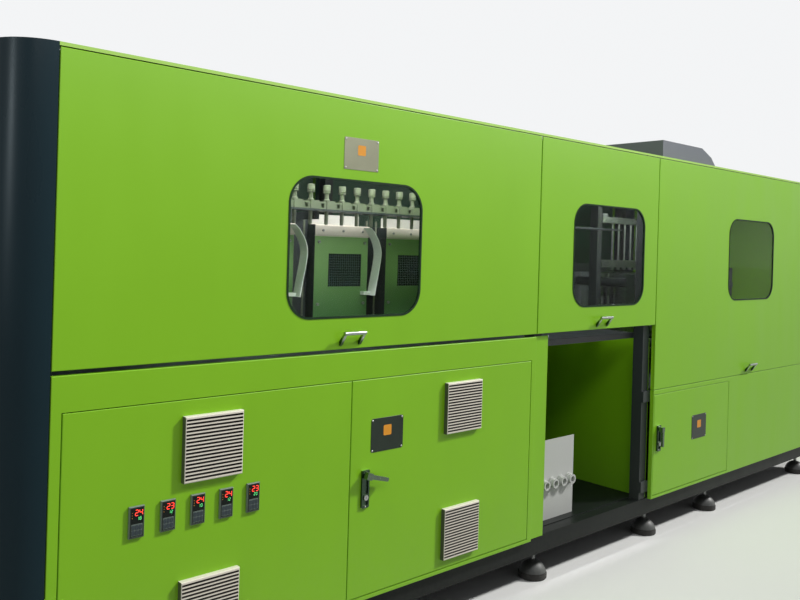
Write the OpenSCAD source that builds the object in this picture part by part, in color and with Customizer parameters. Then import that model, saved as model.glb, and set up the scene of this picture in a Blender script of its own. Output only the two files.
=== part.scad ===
// Linear stretch blow moulding machine: a preform oven section, a transfer section
// and a clamp section in one line behind lime green sheet steel covers.
// Lengths are in millimetres. Z is up, the operator's side faces -Y, the line runs along X.
// Inside the modules X starts at the left edge of the first cover and Y at the front plane.

/* [Line] */
// Length of the oven section's covers
oven_w = 2176; // [2100:1:2400]
// Length of the transfer section's covers
transfer_w = 1031; // [1000:1:1300]
// Length of the clamp section's covers
clamp_w = 2301; // [2250:1:2600]
// Gap between the covers of two sections
section_gap = 6; // [5:0.5:12]
// Depth from the front covers to the rear covers
cab_d = 1800; // [1700:10:2200]
// Height of the roof above the floor
cab_h = 2130; // [2110:1:2300]
// Height of the covers' lower edge above the floor
cover_z = 235; // [225:1:260]
// Radius of the rounded corner posts
post_r = 150; // [120:1:180]

/* [Sheet metal] */
// Thickness of the folded sheet
sheet_t = 2; // [1.5:0.1:3]
// Outer radius of the folds
fold_r = 2.5; // [2:0.1:4]
// Depth of the folded door edges
door_d = 22; // [20:1:30]
// Gap round every door
door_gap = 3; // [2.5:0.1:4]
// Depth of the roof's folded edge
roof_lip = 11; // [8:1:20]

/* [Upper doors] */
// Lower edge of the two upper doors over the oven and transfer sections
upper_z = 1198; // [1180:1:1230]
// Lower edge of the clamp section's upper door
clamp_upper_z = 838; // [800:1:860]
// Width of the windows
window_w = 635; // [500:1:680]
// Height of the windows
window_h = 508; // [400:1:560]
// Corner radius of the windows
window_r = 100; // [60:1:130]
// Height of the windows' lower edge
window_z = 1315; // [1280:1:1360]
// Left edge of the oven window
oven_window_x = 785; // [600:1:1000]
// Left edge of the transfer window, from its door's edge
transfer_window_x = 262; // [150:1:330]
// Left edge of the clamp window, from its door's edge
clamp_window_x = 840; // [600:1:1100]
// Thickness of the window panes
pane_t = 5; // [4:0.5:6]
// Width of the rubber seal's face
seal_w = 5; // [4:0.5:8]
// Radius of the door pivot pins
pivot_r = 4; // [3:0.5:5]
// Distance of the pivot axes from the doors' outer faces and edges
pivot_in = 8; // [7:0.5:10]
// Radial clearance of a turning pin
pin_clear = 0.08; // [0.05:0.01:0.1]
// Length of the bridge handles
pull_w = 100; // [90:1:160]
// Reach of the bridge handles in front of the doors
pull_proud = 38; // [30:1:50]

/* [Lower doors] */
// Lower edge of the lower door openings
lower_door_z = 251; // [248:1:270]
// Height of the oven section's lower door opening
lower_door_h = 827; // [780:1:840]
// Left edge of the lower door opening
lower_door_x = 31; // [25:1:45]
// Width of the oven section's lower front frame beside its door opening on the right
lower_door_end = 30; // [28:1:45]
// Width of the clamp section's lower door opening
clamp_door_w = 880; // [800:1:950]
// Height of the clamp section's lower door opening
clamp_door_h = 560; // [520:1:565]
// Upper edge of the oven section's lower front frame
lower_top_z = 1184; // [1150:1:1190]

/* [Fittings] */
// Side of the square filter grilles
grille_w = 211; // [180:1:230]
// Reach of the grilles in front of the doors
grille_proud = 20; // [15:1:25]
// Number of openings in a grille
grille_slots = 17; // [8:1:17]
// Distance between two openings in a grille
grille_pitch = 11.7; // [10:0.1:11.7]
// Width of a temperature controller's bezel
controller_w = 48; // [44:1:52]
// Height of a temperature controller's bezel
controller_h = 96; // [90:1:100]
// Number of temperature controllers
controllers = 5; // [1:1:6]
// Distance between two temperature controllers
controller_pitch = 102; // [80:1:120]
// Width of the lever handles' plates
plate_w = 36; // [34:1:44]
// Height of the lever handles' plates
plate_h = 144; // [140:1:180]
// Thickness of the lever handles' plates
plate_t = 8; // [6:0.5:12]
// Length of the levers from their axis
lever_len = 96; // [85:1:120]
// Angle of the oven section's lever below level
lever_droop = 16; // [0:1:40]

/* [Base] */
// Height of the base channels
channel_h = 87; // [70:1:90]
// Width of the base channels' flanges
channel_w = 120; // [100:1:150]
// Wall of the base channels
channel_t = 8; // [6:1:12]
// Setback of the base channels behind the covers
base_inset = 30; // [28:1:60]
// Diameter of the machine feet
foot_d = 138; // [110:1:150]
// Diameter of the feet's threaded studs
stud_d = 20; // [16:1:24]
// Side of the square frame tubes
tube_w = 60; // [50:1:70]
// Wall of the frame tubes
tube_t = 4; // [3:0.5:6]
// Thickness of the machine bed
bed_t = 30; // [20:1:40]

/* [Oven] */
// Distance between two spindles
spindle_pitch = 76.2; // [70:0.1:80]
// Number of spindles, and of cavities in the mould
cavities = 9; // [3:1:9]
// Place of the first spindle along the line
spindle_x = 944.8; // [900:0.1:1100]
// Distance of the spindle row behind the front plane
spindle_y = 205; // [180:1:230]
// Length of an oven module
module_w = 286; // [270:1:330]
// Number of oven modules
modules = 4; // [2:1:4]
// Distance of the oven modules behind the front plane
module_y = 300; // [290:1:330]
// Depth of the oven modules
module_d = 330; // [300:1:400]
// Radius of the infrared lamps
lamp_r = 6; // [5:0.5:8]
// Radius of the blower wheels
blower_r = 95; // [80:1:110]
// Depth of the curved air ducts in front of the modules
duct_depth = 50; // [35:1:60]

/* [Clamp] */
// Thickness of one mould half
mould_t = 140; // [120:1:160]
// Height of the mould
mould_h = 500; // [420:1:520]
// Opening travel of each mould half
mould_travel = 70; // [60:1:80]
// Radius of the bottle cavities
bottle_r = 32; // [25:1:34]
// Thickness of the platens
platen_t = 60; // [50:1:70]
// Radius of the four tie bars
tie_r = 30; // [25:1:35]
// Stroke of the stretch rods
stretch_travel = 250; // [150:1:260]
// Stroke of the blow nozzles
nozzle_travel = 40; // [20:1:45]

/* [Cowl and tank] */
// Length of the roof cowl
cowl_len = 650; // [500:10:800]
// Depth of the roof cowl
cowl_depth = 470; // [350:10:600]
// Height of the roof cowl above the roof
cowl_rise = 115; // [80:1:160]
// Radius of the air tank
tank_r = 150; // [120:5:170]
// Length of the air tank
tank_len = 1050; // [800:10:1100]

/* [Hidden] */
$fn = 48;
fit = 0.3;
eps = 0.01;
lower_door_w = oven_w - lower_door_x - lower_door_end;
left_door_w = (lower_door_w + door_gap) / 2;
grille_low_z = lower_door_z + 42;
grille_high_z = lower_door_z + 563;
left_grille_x = lower_door_x + 375;
right_grille_x = lower_door_x + lower_door_w - 566;
controller_x = lower_door_x + 205;
controller_z = lower_door_z + 424;
foot_inset = 90;
pan_t = 3;
deck_z = cover_z + pan_t + 2 * fit;
transfer_x = oven_w + section_gap;
clamp_x = transfer_x + transfer_w + section_gap;
line_w = clamp_x + clamp_w;
front_y = -(cab_d - pull_proud) / 2;
lever_proud = 34;
door_top = cab_h - roof_lip - door_gap;
wall = sheet_t;
win_clear = 0.15;
lever_top = 20;
lever_axis_z = lower_door_z + 463;
plate_x = lower_door_x + lower_door_w - left_door_w + 74;
clamp_lever_axis_z = lower_door_z + 367;
clamp_plate_x = clamp_x + 58;
clamp_door_x = clamp_x + 8;
shaft_r = 9;
core_r = 8;
core_drop = 84;
latch_post_lap = 2;
latch_catch = 10;
oven_cam_len = plate_x - (lower_door_x + left_door_w - door_gap) + latch_catch;
clamp_cam_len = clamp_plate_x - clamp_x - latch_post_lap - 1.5;
frame_y = door_d + 12;
base_z = cover_z - channel_h;
pad_h = 32;
bed_z = 1120;
clamp_bed_z = 790;
post_x = [-35, oven_w + 54, clamp_x - 39, line_w + 35];
pitch_5 = 5 * spindle_pitch;
module_x = spindle_x + 170.2;
module_z = 1300;
module_h = 370;
head_z = 1711;
row_w = cavities * spindle_pitch;
carriage_travel = 9 * spindle_pitch;
clamp_mid_x = clamp_x + clamp_window_x + window_w / 2;
clamp_mid_y = 850;
mould_z = 950;
mould_w = row_w + 40;
mould_gap = 2 * mould_travel;
tie_x = mould_w / 2 + tie_r + 8;
platen_w = 2 * (tie_x + tie_r + 14);
end_plate_t = 40;
end_plate_y = 510;
rod_x = 300;
rod_r = 30;
leg_x = platen_w / 2 + 35;
nozzle_z = mould_z + mould_h + nozzle_travel + 2;
nozzle_h = 50;
stretch_z = nozzle_z + nozzle_h + 8 + stretch_travel;
lift_x = 250;
lift_r = 20;
foot_x = [foot_inset, oven_w / 2 + 100, oven_w + 158, clamp_x + 116, clamp_x + 826, line_w - foot_inset];
foot_y = [base_inset + 80, cab_d - base_inset - 80];
rear_edges = [0, oven_w / 2, oven_w, clamp_x - section_gap, clamp_x + clamp_w / 2, line_w];
cover_seam_x = [0, oven_w, clamp_x, line_w];
cleat_h = 60;
rail_w = 90;
rail_h = 7.7;
rail_x0 = 240;
rail_x1 = clamp_x - 110;
module_gap = pitch_5 - module_w;
column_w = module_gap - 4;
column_x = [for (k = [-2, 0, 2, 4]) module_x - module_gap / 2 + k * pitch_5];
column_y = module_y + 50;
beam_h = 45;
beam_z = module_z + module_h - 6 - beam_h;
carriage_z = head_z + rail_h + fit;
block_h = 33;
bore_r = 10;
lamp_win = [172, 136];
lamp_win_x = 75;
lamp_win_z = 1411;
blower_y = module_y + 215;
blower_z = 1300;
blower_shaft_r = 12;
cowl_x = clamp_x + 180;
cowl_y = 90;
tank_x = clamp_x + clamp_w / 2 - 100;
tank_y = cab_d - 550;
socket_x = oven_w + 260;
socket_pitch = 70;
socket_z = 420;
socket_r = 15;

// Moves the whole machine so that its origin is the middle of its footprint
module place() { translate([-line_w / 2, front_y, 0]) children(); }

// Plates and bars made from an outline drawn in X and Z, from y0 back to y1
module slab(y0, y1) { translate([0, y1, 0]) rotate([90, 0, 0]) linear_extrude(y1 - y0) children(); }

// Bars made from an outline drawn in Y and Z, from x0 to x1
module along_x(x0, x1) { translate([x0, 0, 0]) rotate([90, 0, 90]) linear_extrude(x1 - x0) children(); }

// Round bars along X and along Y
module x_bar(r, x0, x1) { translate([x0, 0, 0]) rotate([0, 90, 0]) cylinder(r = r, h = x1 - x0); }
module y_bar(r, y0, y1) { translate([0, y0, 0]) rotate([-90, 0, 0]) cylinder(r = r, h = y1 - y0); }

// Rectangle with four round corners, its lower left corner at the origin
module round_rect(w, h, r) {
    translate([r, 0]) square([w - 2 * r, h]);
    translate([0, r]) square([w, h - 2 * r]);
    for (x = [r, w - r], z = [r, h - r]) translate([x, z]) circle(r);
}

// Block whose four front edges are rounded like folds
module soft_block(w, d, h, r) {
    intersection() {
        linear_extrude(h) {
            translate([0, r]) square([w, d - r]);
            translate([r, 0]) square([w - 2 * r, 2 * r]);
            for (x = [r, w - r]) translate([x, r]) circle(r);
        }
        along_x(0, w) {
            translate([r, 0]) square([d - r, h]);
            translate([0, r]) square([2 * r, h - 2 * r]);
            for (z = [r, h - r]) translate([r, z]) circle(r);
        }
    }
}

// Folded sheet cover, open at the back
module tray(w, d, h) {
    difference() {
        soft_block(w, d, h, fold_r);
        translate([wall, wall, wall]) cube([w - 2 * wall, d, h - 2 * wall]);
    }
}

// Square tube standing up
module upright(h) {
    linear_extrude(h) difference() {
        square(tube_w);
        translate([tube_t, tube_t]) square(tube_w - 2 * tube_t);
    }
}

// Channel outline, its web at y = 0 and its flanges towards +Y
module channel() {
    square([channel_t, channel_h]);
    square([channel_w, channel_t]);
    translate([0, channel_h - channel_t]) square([channel_w, channel_t]);
}

// Base: two long channels and the cross channels between them
module base_frame() {
    inner_y = base_inset + channel_w + fit;
    color([0.10, 0.12, 0.12]) place() {
        difference() {
            for (side = [0, 1]) translate([0, side * cab_d, base_z]) mirror([0, side, 0])
                translate([0, base_inset, 0])
                    along_x(-post_r + base_inset, line_w + post_r - base_inset) channel();
            for (x = foot_x, y = foot_y) translate([x, y, base_z - 1])
                cylinder(r = stud_d / 2 + 0.5, h = channel_t + 2);
        }
        for (x = post_x)
            translate([x + channel_w / 2, inner_y, base_z]) rotate([0, 0, 90])
                along_x(0, cab_d - 2 * inner_y) channel();
        pan_y = frame_y + tube_w + fit;
        translate([-tube_w, pan_y, cover_z + fit]) cube([line_w + 2 * tube_w, cab_d - 2 * pan_y, pan_t]);
    }
}

// Machine feet at both long channels
module at_feet() { place() for (x = foot_x, y = foot_y) translate([x, y, 0]) children(); }

// Rubber foot pads with a domed steel cap's seat on top
module foot_pads() {
    color([0.08, 0.08, 0.08]) at_feet() rotate_extrude() {
        square([foot_d / 2 - 3, pad_h]);
        translate([0, 4]) square([foot_d / 2, pad_h - 12]);
    }
}

// Domed caps with their threaded studs, flange nuts and lock nuts
module foot_studs() {
    dome_r = foot_d / 2 - 4;
    dome_sink = 14;
    color([0.16, 0.18, 0.18]) at_feet() {
        translate([0, 0, pad_h]) intersection() {
            cylinder(r = dome_r, h = dome_r);
            translate([0, 0, -dome_sink]) sphere(r = sqrt(dome_r * dome_r + dome_sink * dome_sink));
        }
        cylinder_from(stud_d / 2, pad_h + 5, base_z + channel_t + 34);
        translate([0, 0, base_z - 16]) cylinder(r = stud_d * 0.85, h = 16 - fit, $fn = 6);
        translate([0, 0, base_z + channel_t + fit]) cylinder(r = stud_d * 0.85, h = 16, $fn = 6);
    }
}
module cylinder_from(r, z0, z1) { translate([0, 0, z0]) cylinder(r = r, h = z1 - z0); }

// Rounded corner post outline: a quarter ring with a flange along each cover
module post_quarter() { translate([-post_r, -post_r]) square(post_r - door_gap); }
module post_outline() {
    intersection() {
        difference() {
            circle(r = post_r);
            circle(r = post_r - wall - 1);
        }
        post_quarter();
    }
    translate([-door_gap - wall, -post_r + 1]) square([wall, door_d - 1]);
    translate([-post_r + 1, -door_gap - wall]) square([door_d - 1, wall]);
}
module post_pair(y) {
    post_h = cab_h - cover_z;
    color([0.16, 0.21, 0.26]) place() for (side = [0, 1])
        translate([side * line_w, y, cover_z]) mirror([side, 0, 0]) mirror([0, y > post_r ? 1 : 0, 0]) {
            linear_extrude(post_h) post_outline();
            translate([0, 0, post_h - wall]) linear_extrude(wall) intersection() {
                circle(r = post_r);
                post_quarter();
            }
        }
}
module front_corner_posts() { post_pair(post_r); }
module rear_corner_posts() { post_pair(cab_d - post_r); }

// End covers between the corner posts
module end_panels() {
    color([0.56, 0.78, 0.24]) place() for (side = [0, 1])
        translate([side * line_w, 0, 0]) mirror([side, 0, 0])
            translate([-post_r, cab_d - post_r, cover_z]) rotate([0, 0, -90])
                translate([fit - door_gap, 0, 0])
                    tray(cab_d - 2 * (post_r - door_gap + fit), door_d, door_top - cover_z);
}

// Rear covers, two on each long section
module rear_panels() {
    color([0.56, 0.78, 0.24]) place() for (i = [0:len(rear_edges) - 2])
        translate([rear_edges[i + 1] - door_gap / 2, cab_d, cover_z]) rotate([0, 0, 180])
            tray(rear_edges[i + 1] - rear_edges[i] - door_gap, door_d, door_top - cover_z);
}

// Roof: three covers with an edge folded down all round, cut out for the corner posts
module roof_outline(inset) {
    end_x = post_r - inset;
    side_x = door_gap - fit - inset;
    side_y = post_r - door_gap + fit + inset;
    translate([-side_x, inset]) square([line_w + 2 * side_x, cab_d - 2 * inset]);
    translate([-end_x, side_y]) square([line_w + 2 * end_x, cab_d - 2 * side_y]);
}
module roof_panels() {
    seams = [-post_r - 1, oven_w + section_gap / 2, clamp_x - section_gap / 2, line_w + post_r + 1];
    color([0.60, 0.82, 0.28]) place() for (i = [0:2]) intersection() {
        translate([0, 0, cab_h - roof_lip]) difference() {
            linear_extrude(roof_lip) roof_outline(0);
            translate([0, 0, -wall]) linear_extrude(roof_lip) roof_outline(wall);
        }
        translate([seams[i] + fit / 2, -1, 0]) cube([seams[i + 1] - seams[i] - fit, cab_d + 2, cab_h + 1]);
    }
}

// Folded extraction cowl standing on the clamp section's roof, closed on all sides
module cowl_outline(inset) {
    x0 = cowl_x + inset;
    x1 = cowl_x + cowl_len - inset;
    top = cab_h + cowl_rise - inset;
    polygon([[x0, cab_h], [x0, top], [x1 - cowl_len * 0.3, top],
        [x1 - cowl_len * 0.12, top - cowl_rise * 0.4], [x1, cab_h]]);
}
module roof_cowl() {
    cowl_t = 2 * wall;
    color([0.36, 0.38, 0.42]) place() difference() {
        slab(cowl_y, cowl_y + cowl_depth) cowl_outline(0);
        translate([0, 0, -eps]) slab(cowl_y + cowl_t, cowl_y + cowl_depth - cowl_t) cowl_outline(cowl_t);
    }
}

// Inner frame of square tubes: uprights with cleats for the covers, rails and ties under the roof
module cleats(i, y, heights, overlap) {
    x0 = min(post_x[i] - tube_w / 2, cover_seam_x[i] - 16);
    x1 = max(post_x[i] + tube_w / 2, cover_seam_x[i] + overlap);
    for (z = heights) translate([x0, y, z]) cube([x1 - x0, frame_y - door_d - fit + eps, cleat_h]);
}
module inner_frame() {
    post_h = cab_h - wall - fit - cover_z;
    rear_y = cab_d - frame_y - tube_w;
    tie_z = door_top - 6 - tube_w;
    low_cleat_z = cover_z + 40;
    high_cleat_z = lower_top_z - 4 - cleat_h;
    color([0.20, 0.22, 0.23]) place() {
        for (i = [0:len(post_x) - 1]) {
            for (y = [frame_y, rear_y])
                translate([post_x[i] - tube_w / 2, y, cover_z]) upright(post_h);
            cleats(i, door_d + fit, [low_cleat_z, i < 2 ? high_cleat_z : clamp_upper_z - 6 - cleat_h],
                i == 2 ? latch_post_lap : 16);
            cleats(i, rear_y + tube_w - eps, [low_cleat_z, high_cleat_z, tie_z], 16);
        }
        for (x = post_x)
            translate([x - tube_w / 2, rear_y - fit, tie_z]) rotate([90, 0, 0])
                upright(rear_y - frame_y - tube_w - 2 * fit);
        for (i = [0:2], y = [frame_y, rear_y])
            translate([post_x[i] + tube_w / 2 + fit, y, tie_z + tube_w]) rotate([0, 90, 0])
                upright(post_x[i + 1] - post_x[i] - tube_w - 2 * fit);
    }
}

// Machine beds: one under the oven and transfer sections, a lower one under the clamp
module bed_plates() {
    inner_y = frame_y + tube_w + fit;
    color([0.32, 0.34, 0.35]) place() {
        translate([15, inner_y, bed_z])
            cube([post_x[2] - tube_w / 2 - 15 - fit, cab_d - 2 * inner_y, bed_t]);
        for (x = [240, transfer_x - 80, clamp_x - 120])
            translate([x, 700, deck_z]) cube([40, 400, bed_z - deck_z + eps]);
        difference() {
            translate([clamp_x + 20, inner_y, clamp_bed_z]) cube([clamp_w - 40, cab_d - 2 * inner_y, bed_t]);
            for (side = [-1, 1])
                translate([clamp_mid_x + side * lift_x, clamp_mid_y, clamp_bed_z - 1])
                    cylinder(r = lift_r + pin_clear, h = bed_t + 2);
        }
        for (x = [clamp_mid_x - 500, clamp_mid_x + 440])
            translate([x, 400, deck_z]) cube([60, 600, clamp_bed_z - deck_z + eps]);
    }
}

// Front frame sheet with one opening, folded back round it
module front_frame(w, h, x, z, open_w, open_h) {
    difference() {
        soft_block(w, door_d, h, fold_r);
        difference() {
            translate([wall, wall, wall]) cube([w - 2 * wall, door_d, h - 2 * wall]);
            translate([x - wall, 0, z - wall]) cube([open_w + 2 * wall, door_d, open_h + 2 * wall]);
        }
        translate([x, -1, z]) cube([open_w, door_d + 2, open_h]);
    }
}

// Pivot pins that stand up from a sill and hang down from a header
module pivot_pair(x, z0, z1) {
    translate([x, pivot_in, z0 - wall]) cylinder(r = pivot_r, h = wall + door_gap + 12);
    translate([x, pivot_in, z1 - door_gap - 12]) cylinder(r = pivot_r, h = wall + door_gap + 12);
}
module lower_front_oven() {
    top_z = lower_door_z + lower_door_h;
    color([0.50, 0.74, 0.20]) place() {
        translate([0, 0, cover_z])
            front_frame(oven_w, lower_top_z - cover_z, lower_door_x, lower_door_z - cover_z,
                lower_door_w, lower_door_h);
        pivot_pair(lower_door_x + door_gap + pivot_in, lower_door_z, top_z);
        pivot_pair(lower_door_x + lower_door_w - door_gap - pivot_in, lower_door_z, top_z);
    }
}
module lower_front_clamp() {
    frame_h = clamp_upper_z - door_gap - cover_z;
    open_x = clamp_door_x - clamp_x;
    top_z = lower_door_z + clamp_door_h;
    color([0.50, 0.74, 0.20]) place() {
        translate([clamp_x, 0, cover_z])
            front_frame(clamp_w, frame_h, open_x, lower_door_z - cover_z, clamp_door_w, clamp_door_h);
        pivot_pair(clamp_door_x + clamp_door_w - door_gap - pivot_in, lower_door_z, top_z);
    }
}

// Set-back side sheets on both sides of the open bay under the transfer section
module side_panels() {
    bay_x = oven_w + 111;
    color([0.50, 0.74, 0.20]) place() {
        translate([oven_w + fit, door_d - wall, cover_z + fit]) cube([111, wall, lower_top_z - cover_z]);
        for (x = [bay_x, clamp_x - 5])
            translate([x, frame_y, deck_z]) cube([wall, cab_d - 2 * frame_y, bed_z - deck_z - fit]);
    }
}

// Pivot pins of the upper doors, on brackets under the roof's folded edge
module upper_hinge_pins() {
    pin_z = door_top - pivot_in;
    reach = door_gap + 12;
    color([0.6, 0.6, 0.6]) place() {
        translate([0, pivot_in, pin_z]) x_bar(pivot_r, -door_gap, reach - door_gap);
        translate([0, pivot_in, pin_z]) x_bar(pivot_r, line_w - reach + door_gap, line_w + door_gap);
        for (x = [oven_w + section_gap / 2, clamp_x - section_gap / 2]) {
            translate([0, pivot_in, pin_z]) x_bar(pivot_r, x - reach, x + reach);
            translate([x - 1.5, 3, pin_z - 6]) cube([3, 28, cab_h - roof_lip - fit - pin_z + 6]);
        }
    }
}

// Lift-up door with its window, pivot bosses and the holes of its handle
module upper_door(x0, w, z0, window_x) {
    boss = 2 * (pivot_in - wall) + 2;
    bore = pivot_r + pin_clear;
    color([0.58, 0.80, 0.26]) place() difference() {
        union() {
            translate([x0, 0, z0]) tray(w, door_d, door_top - z0);
            for (x = [x0 + 1, x0 + w - 1 - boss])
                translate([x, 1, door_top - 1 - boss]) cube(boss);
        }
        translate([0, pivot_in, door_top - pivot_in]) {
            x_bar(bore, x0 - 1, x0 + 14);
            x_bar(bore, x0 + w - 14, x0 + w + 1);
        }
        translate([x0 + window_x, 0, window_z]) slab(-1, wall + 1) round_rect(window_w, window_h, window_r);
    }
}
module upper_door_oven() { upper_door(0, oven_w, upper_z, oven_window_x); }
module upper_door_transfer() { upper_door(transfer_x, transfer_w, upper_z, transfer_window_x); }
module upper_door_clamp() { upper_door(clamp_x, clamp_w, clamp_upper_z, clamp_window_x); }

// Window outline grown or shrunk by one distance on every side
module window_outline(x, grow) {
    translate([x - grow, window_z - grow])
        round_rect(window_w + 2 * grow, window_h + 2 * grow, window_r + grow);
}

// Rubber seal: a lip in front of the sheet, and a ring that fills the hole's edge
module window_seal(x) {
    color([0.07, 0.08, 0.08]) place() {
        difference() {
            union() {
                slab(-2, 0) window_outline(x, seal_w / 2);
                slab(-eps, pane_t + 4) window_outline(x, -win_clear);
            }
            slab(-3, pane_t + 5) window_outline(x, -seal_w);
            slab(1.5, pane_t + 2) window_outline(x, -seal_w / 2);
        }
    }
}
module window_seal_oven() { window_seal(oven_window_x); }
module window_seal_transfer() { window_seal(transfer_x + transfer_window_x); }
module window_seal_clamp() { window_seal(clamp_x + clamp_window_x); }

// Clear panes held in the grooves of the seals
module window_pane(x) {
    color([0.72, 0.78, 0.78, 0.35]) place()
        slab(1.5 + win_clear, 1.5 + win_clear + pane_t) window_outline(x, -seal_w / 2 - win_clear);
}
module window_pane_oven() { window_pane(oven_window_x); }
module window_pane_transfer() { window_pane(transfer_x + transfer_window_x); }
module window_pane_clamp() { window_pane(clamp_x + clamp_window_x); }

// Bridge handle: two slanted arms that carry a level round-edged grip bar
module pull_handle(x, foot_z) {
    rise = 43;
    arm_w = 11;
    bar_t = 14;
    color([0.78, 0.79, 0.80]) place() translate([x, 0, foot_z]) {
        for (side = [-1, 1]) {
            arm_x = side * (pull_w - arm_w) / 2 - arm_w / 2;
            along_x(arm_x, arm_x + arm_w)
                polygon([[0, -8], [0, 8], [-pull_proud + 8, rise], [-pull_proud + 2, rise - 6], [-5, -8]]);
        }
        along_x(-pull_w / 2, pull_w / 2)
            translate([-pull_proud, rise - bar_t + 2]) round_rect(bar_t, bar_t, 6);
    }
}
module pull_handle_oven() { pull_handle(oven_w / 2 - 18, upper_z + 22); }
module pull_handle_transfer() { pull_handle(transfer_x + transfer_w / 2, upper_z + 22); }
module pull_handle_clamp() { pull_handle(clamp_x + clamp_w / 2, clamp_upper_z + 22); }

// Hinged lower door: a tray with bosses on its hinge side; hinge is 0 at the left and 1 at the right
module lower_door(x0, w, h, hinge) {
    boss = 2 * (pivot_in - wall) + 2;
    door_w = w - 2 * door_gap;
    door_h = h - 2 * door_gap;
    pin_x = hinge == 0 ? pivot_in : door_w - pivot_in;
    translate([x0 + door_gap, 0, lower_door_z + door_gap]) difference() {
        union() {
            tray(door_w, door_d, door_h);
            for (z = [1, door_h - 1 - boss])
                translate([hinge == 0 ? 1 : door_w - 1 - boss, 1, z]) cube(boss);
        }
        for (z = [-1, door_h - 14])
            translate([pin_x, pivot_in, z]) cylinder(r = pivot_r + pin_clear, h = 15);
    }
}
module lower_door_left() {
    color([0.52, 0.76, 0.22]) place() difference() {
        lower_door(lower_door_x, left_door_w, lower_door_h, 0);
        for (i = [0:controllers - 1])
            translate([controller_x + i * controller_pitch + 1.5, -1, controller_z + 1.5])
                cube([controller_w - 3, wall + 2, controller_h - 3]);
    }
}
module lower_door_right() {
    right_x = lower_door_x + lower_door_w - left_door_w;
    color([0.52, 0.76, 0.22]) place() difference() {
        lower_door(right_x, left_door_w, lower_door_h, 1);
        lever_holes(plate_x, lever_axis_z);
    }
}
module lower_door_clamp() {
    color([0.50, 0.74, 0.20]) place() difference() {
        lower_door(clamp_door_x, clamp_door_w, clamp_door_h, 1);
        lever_holes(clamp_plate_x, clamp_lever_axis_z);
    }
}

// Filter grille: louvres between two thin side walls, open almost over the full width
module grille(x, z) {
    slot_h = 6.8;
    side_t = 4;
    margin = (grille_w - (grille_slots - 1) * grille_pitch - slot_h) / 2;
    difference() {
        translate([x, -grille_proud, z]) soft_block(grille_w, grille_proud, grille_w, 4);
        for (i = [0:grille_slots - 1])
            translate([0, -grille_proud, z + margin + i * grille_pitch])
                along_x(x + side_t, x + grille_w - side_t)
                    polygon([[-1, 0], [-1, slot_h], [grille_proud - 3, slot_h + 2], [grille_proud - 3, 2]]);
    }
}
module grilles_left() {
    color([0.82, 0.80, 0.76]) place() for (z = [grille_low_z, grille_high_z]) grille(left_grille_x, z);
}
module grilles_right() {
    color([0.82, 0.80, 0.76]) place() for (z = [grille_low_z, grille_high_z]) grille(right_grille_x, z);
}

// Temperature controllers: bezels with a recessed face, their cases behind the door
module temperature_controllers() {
    color([0.15, 0.15, 0.16]) place() for (i = [0:controllers - 1])
        translate([controller_x + i * controller_pitch, 0, controller_z]) difference() {
            union() {
                translate([0, -10, 0]) soft_block(controller_w, 10, controller_h, 2.5);
                translate([2, -1, 2]) cube([controller_w - 4, 71, controller_h - 4]);
            }
            translate([4, -11, 5]) cube([controller_w - 8, 2.2, controller_h - 10]);
        }
}

// Holes in the door sheet for a lever's shaft and for its lock
module lever_holes(x, axis_z) {
    translate([x, 0, axis_z]) y_bar(shaft_r + 1, -1, wall + 1);
    translate([x, 0, axis_z - core_drop]) y_bar(core_r + 4, -1, wall + 1);
}

// Lever handle's plate with its bearing bore and the bore of its lock
module lever_plate(x, axis_z) {
    plate_r = 6;
    recess_w = plate_w - 12;
    recess_h = core_drop - shaft_r - core_r - 12;
    pocket_h = 16;
    color([0.70, 0.71, 0.71]) place() difference() {
        union() {
            translate([x - plate_w / 2, 0, axis_z + lever_top - plate_h])
                slab(-plate_t, 0) round_rect(plate_w, plate_h, plate_r);
            translate([x, 0, axis_z]) y_bar(shaft_r + 6, -plate_t - 4, 0);
            translate([x, 0, axis_z - core_drop]) y_bar(core_r + 3, -plate_t - 2, 14);
        }
        translate([x, 0, axis_z]) y_bar(shaft_r + pin_clear, -plate_t - 5, 1);
        translate([x, 0, axis_z - core_drop]) y_bar(core_r + pin_clear, -plate_t - 3, 15);
        translate([x - recess_w / 2, 0, axis_z - core_drop + core_r + 5])
            slab(-plate_t - 1, -wall) square([recess_w, recess_h]);
        translate([x - recess_w / 2, 0, axis_z - core_drop - core_r - 5 - pocket_h])
            slab(-plate_t - 1, -wall) square([recess_w, pocket_h]);
    }
}

// Lever on its shaft with the latch cam behind the door. Angle 0 points right, 90 down.
// The cam stands at cam_angle from the lever's own down direction and has a round end.
module lever(x, axis_z, angle, cam_angle, cam_len) {
    hub_y = -plate_t - 4 - fit;
    hub = 26;
    cam_w = 24;
    color([0.66, 0.67, 0.68]) place() translate([x, 0, axis_z]) rotate([0, angle, 0]) {
        y_bar(shaft_r, -lever_proud + 2, door_d + 6);
        slab(-lever_proud, hub_y) translate([-hub / 2, -hub / 2]) square(hub);
        slab(-lever_proud, -lever_proud + 12)
            polygon([[0, -9], [lever_len - 3, -7.5], [lever_len, -5],
                [lever_len, 5], [lever_len - 3, 7.5], [0, 9]]);
        rotate([0, cam_angle, 0]) slab(door_d + 2, door_d + 6) {
            circle(14);
            intersection() {
                circle(cam_len);
                translate([-cam_w / 2, -cam_len]) square([cam_w, cam_len]);
            }
        }
    }
}

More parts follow.
